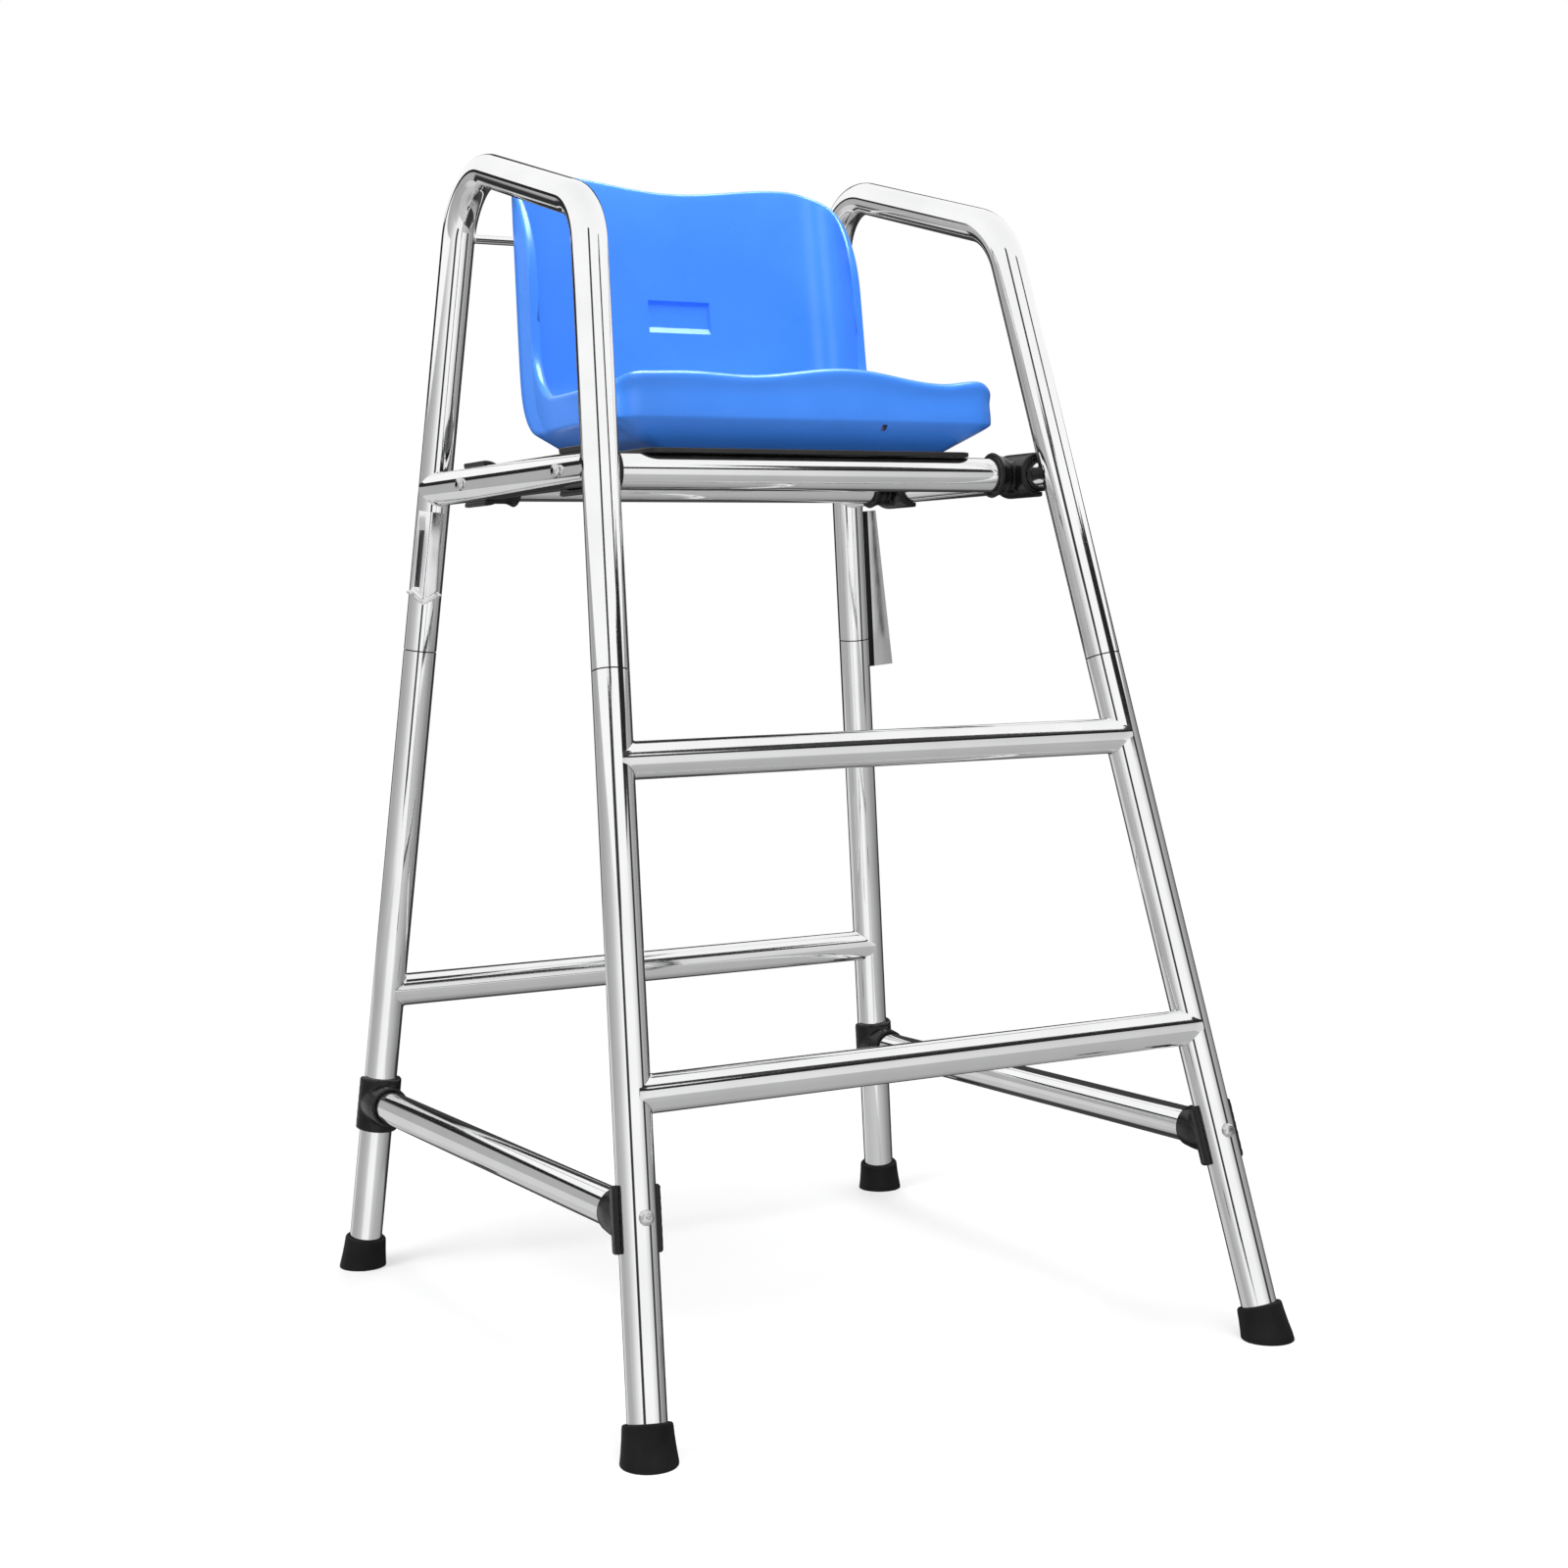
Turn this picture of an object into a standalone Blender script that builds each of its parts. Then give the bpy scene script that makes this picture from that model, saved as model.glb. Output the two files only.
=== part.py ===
"""Take-apart lifeguard chair: two bent side frames, a ladder front, a moulded seat.

Metres, Z up. The chair faces -Y, the origin is on the floor at the middle.
"""
import bpy
import bmesh
from math import acos, cos, pi, radians, sin, sqrt, tan
from mathutils import Vector

for old in list(bpy.data.objects):
    bpy.data.objects.remove(old, do_unlink=True)

# Driving dimensions of the frame. Every other place follows from these.
TUBE_D = 0.038
TUBE_WALL = 0.0015
BASE_HALF_WIDTH = 0.363
SIDE_LEAN = 0.0928
BASE_DEPTH = 0.800
FRONT_RAKE = 0.265
BACK_RAKE = 0.097
SIDE_BAR_Z = 0.205
FIRST_STEP_RISE = 0.120
STEP_SPACING = 0.312
REAR_BAR_RISE = 0.131
RAIL_Z = 0.926
ARM_FRONT_RISE = 0.273
ARM_BACK_RISE = 0.371
BEND_R = 0.075
FRONT_SPLICE_Z = 0.715
BACK_SPLICE_Z = 0.740
SLEEVE_LENGTH = 0.090
REAR_RAIL_SETBACK = 0.131
TEE_LEG_CLEARANCE = 0.0076

# Tee connectors and their bolts.
SADDLE_LENGTH = 0.064
SADDLE_WALL = 0.0056
SADDLE_WRAP = radians(97.0)
SADDLE_EDGE = 0.0022
DOME_FLARE = 0.0024
DOME_SHOULDER = 0.003
CUP_WALL = 0.0026
CUP_GRIP = 0.0125
TEE_WEB = 0.0035
BOLT_R = 0.004
BOLT_BITE = 0.009
BOLT_POINT = 0.0008
HEAD_R = 0.0075
HEAD_H = 0.0048
HEAD_DOME = 0.0028
SOCKET_R = 0.0030
SOCKET_DEPTH = 0.0028

# Feet, back bar, hook bracket and hanger plate on the back legs.
FOOT_TOP_WALL = 0.0045
FOOT_FLARE = 0.0038
FOOT_HEIGHT = 0.037
FOOT_SOLE = 0.014
FOOT_EDGE = 0.002
BACK_BAR_D = 0.010
BACK_BAR_BELOW_BEND = 0.005
SHEET_T = 0.0022
BRACKET_BELOW_RAIL = 0.006
BRACKET_FACE = 0.0165
BRACKET_LENGTH = 0.092
BRACKET_POINT = 0.012
BRACKET_LIP = 0.006
BRACKET_BEND = radians(120.0)
BRACKET_TURN = radians(24.0)
SLOT_W = 0.007
SLOT_LENGTH = 0.066
SLOT_DROP = 0.022
SLOT_FROM_RIDGE = 0.0095
HANGER_LENGTH = 0.200
HANGER_TOP_W = 0.019
HANGER_FOOT_W = 0.034
HANGER_FLANGE = 0.010

# Seat shell and the plate below it.
PLATE_T = 0.005
PLATE_SIDE_CLEARANCE = 0.033
PLATE_OVERLAP = 0.016
PLATE_CORNER = 0.018
SEAT_SIDE_CLEARANCE = 0.022
SEAT_FRONT_OVERHANG = 0.017
SEAT_REAR_OVERHANG = 0.0395
SEAT_WALL = 0.005
SEAT_FOLD_H = 0.030
SEAT_FOLD_EDGE = 0.002
SEAT_PAN_RISE = 0.013
SEAT_DISH = 0.006
SEAT_LIP = 0.031
SEAT_WAVE = 0.0047
SEAT_HALF_WAVES = 2.30
SEAT_FLANK_DROP = 0.012
SEAT_BACK_HEIGHT = 0.2734
SEAT_BACK_CROWN = 0.013
SEAT_FRONT_CORNER = 0.031
SEAT_BACK_CORNER = 0.040
SEAT_NARROWING = 0.0195
SEAT_WING_DEPTH = 0.072
SEAT_WING_FILLET = 0.060
SEAT_TOP_ROUND = 0.115
SEAT_TOP_RUN = 0.018
SEAT_TAPER = 0.017
SEAT_TAPER_START = 0.100
SEAT_RECLINE = 0.095
SEAT_HEEL = 0.034
SEAT_HEEL_H = 0.050
SEAT_FILLET = 0.034
SEAT_FILLET_SHARE = 0.72
SEAT_RIM_ROUND = 0.0025
TRAY_SIDE_TUCK = 0.057
TRAY_FRONT_TUCK = 0.025
TRAY_REAR_TUCK = 0.012
TRAY_CORNER = 0.012
TRAY_FLANGE = 0.010
POCKET_W = 0.078
POCKET_H = 0.038
POCKET_DEPTH = 0.0032
POCKET_RISE = 0.1255
DRAIN_W = 0.006
DRAIN_X = 0.086
DRAIN_RISE = 0.0245

# Clearance kept between parts that touch.
GAP = 0.0003
SIDES = 20

TUBE_R = TUBE_D / 2.0
HALF_DEPTH = BASE_DEPTH / 2.0
LOWER_STEP_Z = SIDE_BAR_Z + FIRST_STEP_RISE
UPPER_STEP_Z = LOWER_STEP_Z + STEP_SPACING
REAR_BAR_Z = SIDE_BAR_Z + REAR_BAR_RISE
ARM_FRONT_Z = RAIL_Z + ARM_FRONT_RISE
ARM_BACK_Z = RAIL_Z + ARM_BACK_RISE
TEE_POCKET = TUBE_R + BOLT_BITE + TEE_WEB
TEE_REACH = TEE_POCKET + CUP_GRIP
X_AXIS = Vector((1, 0, 0))
Y_AXIS = Vector((0, 1, 0))
Z_AXIS = Vector((0, 0, 1))


def finish(name, rgb, metallic, roughness):
    mat = bpy.data.materials.new(name)
    mat.use_nodes = True
    shader = mat.node_tree.nodes["Principled BSDF"]
    shader.inputs["Base Color"].default_value = (*rgb, 1.0)
    shader.inputs["Metallic"].default_value = metallic
    shader.inputs["Roughness"].default_value = roughness
    mat.diffuse_color = (*rgb, 1.0)
    return mat


STEEL = ("polished steel", (0.80, 0.80, 0.81), 1.0, 0.12)
NYLON = ("black nylon", (0.012, 0.012, 0.013), 0.0, 0.30)
RUBBER = ("black rubber", (0.010, 0.010, 0.010), 0.0, 0.60)
BLUE = ("blue plastic", (0.045, 0.210, 0.850), 0.0, 0.35)
BLACK = ("black plate", (0.010, 0.010, 0.011), 0.0, 0.45)


def build(name, rings, kind, look=STEEL, hidden=False):
    """Join rings of equal count into one closed skin.

    kind "loop" closes the last ring on the first; "cap" closes both ends.
    """
    count = len(rings[0])
    mesh = bpy.data.meshes.new(name)
    bm = bmesh.new()
    rows = [[bm.verts.new(p) for p in ring] for ring in rings]
    pairs = list(zip(rows, rows[1:]))
    if kind == "loop":
        pairs.append((rows[-1], rows[0]))
    for low, high in pairs:
        for i in range(count):
            j = (i + 1) % count
            bm.faces.new((low[i], low[j], high[j], high[i]))
    if kind == "cap":
        bm.faces.new(list(reversed(rows[0])))
        bm.faces.new(rows[-1])
    bmesh.ops.recalc_face_normals(bm, faces=bm.faces)
    bm.to_mesh(mesh)
    bm.free()
    return place(name, mesh, look, hidden)


def place(name, mesh, look, hidden=False):
    for poly in mesh.polygons:
        poly.use_smooth = True
    mesh.set_sharp_from_angle(angle=radians(38.0))
    obj = bpy.data.objects.new(name, mesh)
    bpy.context.scene.collection.objects.link(obj)
    if hidden:
        obj.hide_render = True
        obj.display_type = "WIRE"
    else:
        mesh.materials.append(finish(name + " " + look[0], *look[1:]))
    return obj


def carve(obj, cutter, mode="DIFFERENCE"):
    mod = obj.modifiers.new(mode.lower(), "BOOLEAN")
    mod.operation = mode
    mod.solver = "EXACT"
    mod.object = cutter


def ring(centre, axis, side, radius, count=SIDES):
    """Circle of points square to the axis, counted from the side direction."""
    other = axis.cross(side)
    turns = [2.0 * pi * i / count for i in range(count)]
    return [centre + radius * (cos(t) * side + sin(t) * other) for t in turns]


def square_to(axis, wanted):
    return (wanted - axis * wanted.dot(axis)).normalized()


def rod(name, a, b, radius, count=SIDES, look=STEEL, hidden=False):
    axis = (b - a).normalized()
    side = square_to(axis, Z_AXIS if abs(axis.z) < 0.8 else X_AXIS)
    rings = [ring(a, axis, side, radius, count), ring(b, axis, side, radius, count)]
    return build(name, rings, "cap", look, hidden)


def tube(name, path, normal, radius=TUBE_R, wall=TUBE_WALL, look=STEEL):
    """Hollow tube with open ends along (point, direction) stations in one plane."""
    outer = [ring(p, d, normal, radius) for p, d in path]
    inner = [ring(p, d, normal, radius - wall) for p, d in reversed(path)]
    return build(name, outer + inner, "loop", look)


def straight(name, a, b, radius=TUBE_R, wall=TUBE_WALL, look=STEEL):
    axis = (b - a).normalized()
    side = square_to(axis, Z_AXIS if abs(axis.z) < 0.8 else X_AXIS)
    return tube(name, [(a, axis), (b, axis)], side, radius, wall, look)


def leg_x(side, z):
    return side * (BASE_HALF_WIDTH - SIDE_LEAN * z)


def front_leg(side, z):
    return Vector((leg_x(side, z), -HALF_DEPTH + FRONT_RAKE * z, z))


def back_leg(side, z):
    return Vector((leg_x(side, z), HALF_DEPTH - BACK_RAKE * z, z))


def front_axis(side):
    return Vector((-side * SIDE_LEAN, FRONT_RAKE, 1.0)).normalized()


def back_axis(side):
    return Vector((-side * SIDE_LEAN, -BACK_RAKE, 1.0)).normalized()


def bend(corner, d_in, d_out, steps):
    """Stations of a round bend at a corner, from direction d_in to d_out."""
    turn = acos(max(-1.0, min(1.0, d_in.dot(d_out))))
    start = corner - d_in * BEND_R * tan(turn / 2.0)
    inward = (d_out - d_in * d_out.dot(d_in)).normalized()
    out = []
    for k in range(steps + 1):
        t = turn * k / steps
        point = start + BEND_R * (sin(t) * d_in + (1.0 - cos(t)) * inward)
        out.append((point, cos(t) * d_in + sin(t) * inward))
    return out


def host_cutter(name, point, axis):
    """Cylinder that leaves room for the host tube at a joint."""
    reach = axis * (5.0 * TUBE_R)
    return rod(name, point - reach, point + reach, TUBE_R + GAP, hidden=True)


def welded_bar(name, a, b, axis_a, axis_b, radius=TUBE_R):
    """Tube between two hosts, both ends cut to the round of the host."""
    bar = straight(name, a, b, radius)
    carve(bar, host_cutter(name + "_end_a", a, axis_a))
    carve(bar, host_cutter(name + "_end_b", b, axis_b))
    return bar


def rubber_foot(name, foot, axis):
    """Flared cup round the leg end, its sole cut level with the floor."""
    cross = square_to(axis, X_AXIS)
    top_r = TUBE_R + GAP + FOOT_TOP_WALL
    sole_r = top_r + FOOT_FLARE
    rings = []
    for height, radius in ((0.0, sole_r - FOOT_EDGE), (FOOT_EDGE, sole_r)):
        flat = ring(foot, axis, cross, radius)
        rings.append([p + axis * ((height - p.z) / axis.z) for p in flat])
    rim = foot + axis * FOOT_HEIGHT
    rings.append(ring(rim - axis * FOOT_EDGE, axis, cross, top_r))
    rings.append(ring(rim, axis, cross, TUBE_R + GAP))
    rings.append(ring(foot + axis * FOOT_SOLE, axis, cross, TUBE_R + GAP))
    return build(name, rings, "cap", RUBBER)


# Side frames: front leg, arm rest and back leg bent from one tube, lower legs
# that plug on below the splice lines, feet, and the rail at seat height.
SIDE_NAMES = {-1: "left", 1: "right"}
lower_legs = {}
side_rails = {}
for side, word in SIDE_NAMES.items():
    up_front = front_axis(side)
    up_back = back_axis(side)
    front_corner = front_leg(side, ARM_FRONT_Z)
    back_corner = back_leg(side, ARM_BACK_Z)
    along_arm = (back_corner - front_corner).normalized()
    plane = up_front.cross(along_arm).normalized()
    stations = [(front_leg(side, FRONT_SPLICE_Z) + up_front * GAP / 2.0, up_front)]
    stations += bend(front_corner, up_front, along_arm, 5)
    stations += bend(back_corner, along_arm, -up_back, 9)
    back_bar_z = stations[-1][0].z - BACK_BAR_BELOW_BEND
    stations += [(back_leg(side, BACK_SPLICE_Z) + up_back * GAP / 2.0, -up_back)]
    tube(word + "_arch_tube", stations, plane)

    for end, leg, axis, splice_z in (
        ("front", front_leg, up_front, FRONT_SPLICE_Z),
        ("rear", back_leg, up_back, BACK_SPLICE_Z),
    ):
        name = end + "_" + word
        foot = leg(side, 0.0)
        splice = leg(side, splice_z)
        low = foot + axis * (FOOT_SOLE + GAP)
        lower_legs[side, end] = straight(name + "_lower_leg", low, splice - axis * GAP / 2.0)
        half = axis * SLEEVE_LENGTH / 2.0
        straight(name + "_splice_sleeve", splice - half, splice + half, TUBE_R - TUBE_WALL - GAP)
        rubber_foot(name + "_foot", foot, axis)

    a = front_leg(side, RAIL_Z)
    b = back_leg(side, RAIL_Z)
    side_rails[side] = welded_bar(word + "_side_rail", a, b, up_front, up_back)

# Steps, rear bar and the slim bar behind the seat back, welded between legs.
for name, leg, axis_of, z, radius in (
    ("lower_step", front_leg, front_axis, LOWER_STEP_Z, TUBE_R),
    ("upper_step", front_leg, front_axis, UPPER_STEP_Z, TUBE_R),
    ("rear_cross_bar", back_leg, back_axis, REAR_BAR_Z, TUBE_R),
    ("back_bar", back_leg, back_axis, back_bar_z, BACK_BAR_D / 2.0),
):
    welded_bar(name, leg(-1, z), leg(1, z), axis_of(-1), axis_of(1), radius)


def saddle_block(name, point, host_axis, out, across):
    """Thick half sleeve along the host tube, thinner at its edges and ends."""
    inner = TUBE_R - GAP
    outer = TUBE_R + GAP + SADDLE_WALL
    steps = 10
    turns = [SADDLE_WRAP * (2.0 * k / steps - 1.0) for k in range(steps + 1)]
    rings = []
    for shift, ease in ((0.0, SADDLE_EDGE), (SADDLE_EDGE, 0.0)):
        for end in (-1.0, 1.0):
            centre = point + host_axis * end * (SADDLE_LENGTH / 2.0 - shift)
            loop = []
            for k, t in enumerate(turns):
                thin = SADDLE_WALL / 2.0 if k in (0, steps) else 0.0
                loop.append(centre + (outer - ease - thin) * (cos(t) * out + sin(t) * across))
            loop += [centre + inner * (cos(t) * out + sin(t) * across) for t in reversed(turns)]
            rings.append(loop)
    first, last, second, third = rings
    return build(name, [first, second, third, last], "cap", hidden=True)


def button_bolt(name, tip, under, out, across):
    """Bolt with a domed head and a six sided socket, drawn from tip to head."""
    count = 12
    rings = [ring(tip, out, across, BOLT_R - BOLT_POINT, count)]
    rings.append(ring(tip - out * BOLT_POINT, out, across, BOLT_R, count))
    rings.append(ring(under, out, across, BOLT_R, count))
    for share in (0.0, 0.6, 1.0):
        radius = HEAD_R - HEAD_DOME * share * share
        rings.append(ring(under - out * HEAD_H * share, out, across, radius, count))
    for depth in (0.0, SOCKET_DEPTH):
        centre = under - out * (HEAD_H - depth)
        wide = ring(centre, out, across, SOCKET_R, count)
        flat = ring(centre, out, across, SOCKET_R * cos(pi / 6.0), count)
        rings.append([wide[i] if i % 2 == 0 else flat[i] for i in range(count)])
    return build(name, rings, "cap")


def tee(name, host, point, host_axis, bar_axis):
    """Black tee: saddle on the host tube, domed cup round the bar end, one bolt."""
    out = square_to(host_axis, bar_axis)
    across = host_axis.cross(out)
    cup_r = TUBE_R + GAP + CUP_WALL
    shoulder = TUBE_R + DOME_SHOULDER

    # Domed cup, turned about the bar.
    spin_side = square_to(bar_axis, host_axis)
    count = 16
    low = point + bar_axis * 2.0 * DOME_SHOULDER
    rings = [ring(low, bar_axis, spin_side, cup_r + DOME_FLARE, count)]
    for k in range(5):
        t = 0.5 * pi * k / 4.0
        centre = point + bar_axis * (shoulder + (TEE_REACH - shoulder) * sin(t))
        rings.append(ring(centre, bar_axis, spin_side, cup_r + DOME_FLARE * cos(t), count))
    body = build(name, rings, "cap", NYLON)

    carve(body, saddle_block(name + "_saddle", point, host_axis, out, across), "UNION")
    carve(body, host_cutter(name + "_seat", point, host_axis))
    a = point + bar_axis * TEE_POCKET
    b = point + bar_axis * (TEE_REACH + CUP_GRIP)
    carve(body, rod(name + "_pocket", a, b, TUBE_R + GAP, hidden=True))

    # One bolt from the far side of the host, square to it.
    under = point - out * (TUBE_R + GAP)
    tip = point + out * (TUBE_R + BOLT_BITE)
    a = under - out * HEAD_H
    drill = rod(name + "_drill", a, tip + out * GAP, BOLT_R + GAP, 12, hidden=True)
    carve(body, drill)
    carve(host, drill)
    button_bolt(name + "_bolt", tip, under, out, across)


# Seat cross rails, on tees that grip the side rails.
saddle_top = RAIL_Z + TUBE_R + GAP + SADDLE_WALL
leg_back_face = front_leg(1, saddle_top).y + TUBE_R * sqrt(1.0 + FRONT_RAKE * FRONT_RAKE)
front_rail_y = leg_back_face + TEE_LEG_CLEARANCE + SADDLE_LENGTH / 2.0
rear_rail_y = back_leg(1, RAIL_Z).y - REAR_RAIL_SETBACK
rail_x = leg_x(1, RAIL_Z)
rail_half = rail_x - TEE_POCKET - GAP
for end, y in (("front", front_rail_y), ("rear", rear_rail_y)):
    for side, word in SIDE_NAMES.items():
        point = Vector((side * rail_x, y, RAIL_Z))
        tee(end + "_rail_" + word + "_tee", side_rails[side], point, Y_AXIS, X_AXIS * -side)
    straight(end + "_cross_rail", Vector((-rail_half, y, RAIL_Z)), Vector((rail_half, y, RAIL_Z)))

# Low side bars, on tees that grip the lower legs.
for side, word in SIDE_NAMES.items():
    a = front_leg(side, SIDE_BAR_Z)
    b = back_leg(side, SIDE_BAR_Z)
    tee(word + "_bar_front_tee", lower_legs[side, "front"], a, front_axis(side), Y_AXIS)
    tee(word + "_bar_rear_tee", lower_legs[side, "rear"], b, back_axis(side), -Y_AXIS)
    inset = Y_AXIS * (TEE_POCKET + GAP)
    straight(word + "_side_bar", a + inset, b - inset)


def box_cutter(name, middle, sides, starts, ends):
    """Hidden box between two corners, given along three square directions."""
    rings = []
    for w in (starts[2], ends[2]):
        spots = ((starts[0], starts[1]), (ends[0], starts[1]), (ends[0], ends[1]), (starts[0], ends[1]))
        rings.append([middle + sides[0] * u + sides[1] * v + sides[2] * w for u, v in spots])
    return build(name, rings, "cap", hidden=True)


# Hook bracket on the left back leg: an angle of sheet whose ridge faces out to
# the front, with a slot in one face and a pointed lower end turned out as a lip.
axis = back_axis(-1)
ridge = square_to(axis, Vector((-sin(BRACKET_TURN), -cos(BRACKET_TURN), 0.0)))
along = axis.cross(ridge)
slant = 0.5 * (pi - BRACKET_BEND)
bracket_top = back_leg(-1, RAIL_Z - TUBE_R - BRACKET_BELOW_RAIL)


def face_way(end):
    """Direction from the ridge along one face of the angle."""
    return end * cos(slant) * along - sin(slant) * ridge


def angle_section(down, point_drop, lip):
    """Six corners of the angle at a distance down the leg."""
    centre = bracket_top - axis * down
    corners = []
    for off, order in ((TUBE_R + GAP, (-1, 0, 1)), (TUBE_R + GAP + SHEET_T, (1, 0, -1))):
        for end in order:
            corner = centre + ridge * ((off + lip) / cos(slant))
            corner += face_way(end) * (BRACKET_FACE + lip) if end else -axis * point_drop
            corners.append(corner)
    return corners


rings = [angle_section(0.0, 0.0, 0.0)]
rings.append(angle_section(BRACKET_LENGTH, BRACKET_POINT, 0.0))
rings.append(angle_section(BRACKET_LENGTH + BRACKET_LIP / 2.0, BRACKET_POINT, BRACKET_LIP))
bracket = build("hook_bracket", rings, "cap")
slot_way = face_way(-1)
slot_out = slot_way.cross(axis)
middle = bracket_top - axis * (SLOT_DROP + SLOT_LENGTH / 2.0) + slot_way * SLOT_FROM_RIDGE
middle += ridge * ((TUBE_R + GAP) / cos(slant))
reach = (SLOT_W / 2.0, SLOT_LENGTH / 2.0, 2.0 * SHEET_T)
slot = box_cutter("slot_cutter", middle, (slot_way, axis, slot_out), [-r for r in reach], reach)
carve(bracket, slot)

# Hanger plate on the right back leg: tapered sheet with a folded flange that
# lies along the outer side of the leg.
axis = back_axis(1)
out = square_to(axis, X_AXIS)
fore = out.cross(axis)
hanger_top = back_leg(1, RAIL_Z - TUBE_R - BRACKET_BELOW_RAIL)
rear = -HANGER_FLANGE / 2.0
front = HANGER_FLANGE / 2.0
web = front - SHEET_T
rings = []
for down, width in ((0.0, HANGER_TOP_W), (HANGER_LENGTH, HANGER_FOOT_W)):
    centre = hanger_top - axis * down + out * (TUBE_R + GAP)
    section = ((0.0, rear), (SHEET_T, rear), (SHEET_T, web), (width, web), (width, front), (0.0, front))
    rings.append([centre + out * o + fore * f for o, f in section])
build("hanger_plate", rings, "cap")


def rounded(half_w, y0, y1, radius, z, steps=4):
    """Rectangle with round corners, in plan."""
    points = []
    for cx, cy, start in (
        (half_w - radius, y1 - radius, 0.0),
        (radius - half_w, y1 - radius, 0.5),
        (radius - half_w, y0 + radius, 1.0),
        (half_w - radius, y0 + radius, 1.5),
    ):
        for k in range(steps + 1):
            t = pi * (start + 0.5 * k / steps)
            points.append(Vector((cx + radius * cos(t), cy + radius * sin(t), z)))
    return points


# Black plate that bridges the two cross rails and carries the seat.
plate_low = RAIL_Z + TUBE_R + GAP
plate_top = plate_low + PLATE_T
plate_half = rail_x - TEE_REACH - PLATE_SIDE_CLEARANCE
plate_front = front_rail_y - PLATE_OVERLAP
plate_rear = rear_rail_y + PLATE_OVERLAP
plan = (plate_half, plate_front, plate_rear, PLATE_CORNER)
rings = [rounded(*plan, plate_low), rounded(*plan, plate_top)]
build("seat_base_plate", rings, "cap", BLACK)

# Seat shell, built from rings round one outline. The outline narrows to the rear
# and leans back with height; its rim is low in front and sweeps up to the wings.
seat_low = plate_top + GAP
seat_half = rail_x - TUBE_R - SEAT_SIDE_CLEARANCE
seat_front = front_rail_y - SEAT_FRONT_OVERHANG
seat_rear = rear_rail_y + SEAT_REAR_OVERHANG
pan_h = SEAT_FOLD_H + SEAT_WALL + SEAT_PAN_RISE
front_h = pan_h + SEAT_LIP
flank_h = front_h - SEAT_FLANK_DROP
wing_h = flank_h + SEAT_WING_FILLET
back_h = pan_h + SEAT_BACK_HEIGHT
high_h = back_h + SEAT_BACK_CROWN


def rim_stations(counts):
    """Right half of the rim from front middle to top middle: (zone, share)."""
    out = [(zone, k / count) for zone, count in counts for k in range(count)]
    return out + [("top", 1.0)]


def back_face(z):
    """Rear face of the seat at height z: rounded in at the heel, then leaning."""
    above = max(0.0, z - SEAT_FOLD_H)
    heel = max(0.0, 1.0 - above / SEAT_HEEL_H)
    return seat_rear + SEAT_RECLINE * above - SEAT_HEEL * (1.0 - sqrt(1.0 - heel * heel))


def outline(zone, share, z, inset):
    """Plan point of a station at height z above the seat bottom."""
    front = seat_front + inset
    rear = back_face(z) - inset
    wing_y = back_face(z) - SEAT_WING_DEPTH
    wide = seat_half - inset
    narrow = wide - SEAT_NARROWING - SEAT_TAPER * max(0.0, z - SEAT_TAPER_START)
    front_r = max(SEAT_WALL, SEAT_FRONT_CORNER - inset)
    back_r = max(SEAT_WALL, SEAT_BACK_CORNER - inset)
    start = front + front_r
    turn = 0.5 * pi * share
    if zone == "front":
        return (wide - front_r) * share, front
    if zone == "corner":
        return wide - front_r * (1.0 - sin(turn)), front + front_r * (1.0 - cos(turn))
    if zone in ("flank", "sweep"):
        y = wing_y - SEAT_WING_FILLET * (1.0 - sin(turn))
        if zone == "flank":
            y = start + (wing_y - SEAT_WING_FILLET - start) * share
        return wide - (wide - narrow) * (y - start) / (wing_y - start), y
    if zone == "edge":
        return narrow, wing_y
    if zone == "top":
        return (narrow - back_r - SEAT_TOP_RUN) * (1.0 - share), rear
    run = rear - back_r - wing_y
    arc = 0.5 * pi * back_r
    way = (run + arc + SEAT_TOP_RUN) * (1.0 - cos(turn))
    if way < run:
        return narrow, wing_y + way
    if way > run + arc:
        return narrow - back_r - (way - run - arc), rear
    t = (way - run) / back_r
    return narrow - back_r * (1.0 - cos(t)), rear - back_r * (1.0 - sin(t))


def rim_height(zone, share):
    """Wavy front lip, level sides, swept wing edges and a hollowed top edge."""
    turn = 0.5 * pi * share
    if zone == "front":
        return front_h - SEAT_WAVE * cos(SEAT_HALF_WAVES * pi * share)
    if zone == "corner":
        lip_end = front_h - SEAT_WAVE * cos(SEAT_HALF_WAVES * pi)
        return lip_end + (flank_h - lip_end) * sin(turn) ** 2
    if zone == "flank":
        return flank_h
    if zone == "sweep":
        return wing_h - SEAT_WING_FILLET * cos(turn)
    if zone == "edge":
        return wing_h + (high_h - SEAT_TOP_ROUND - wing_h) * share
    if zone == "wing":
        return high_h - SEAT_TOP_ROUND * (1.0 - sin(turn))
    return high_h - SEAT_BACK_CROWN * sin(turn) ** 2


zones = ("front", "corner", "flank", "sweep", "edge", "wing", "top")
half_rim = rim_stations(list(zip(zones, (6, 3, 2, 5, 1, 7, 4))))
loop = [(zone, share, 1.0) for zone, share in half_rim]
loop += [(zone, share, -1.0) for zone, share in reversed(half_rim[1:-1])]


def seat_ring(height_of, inset):
    points = []
    for zone, share, mirror in loop:
        z = height_of(zone, share)
        x, y = outline(zone, share, z, inset)
        points.append(Vector((mirror * x, y, seat_low + z)))
    return points


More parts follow.
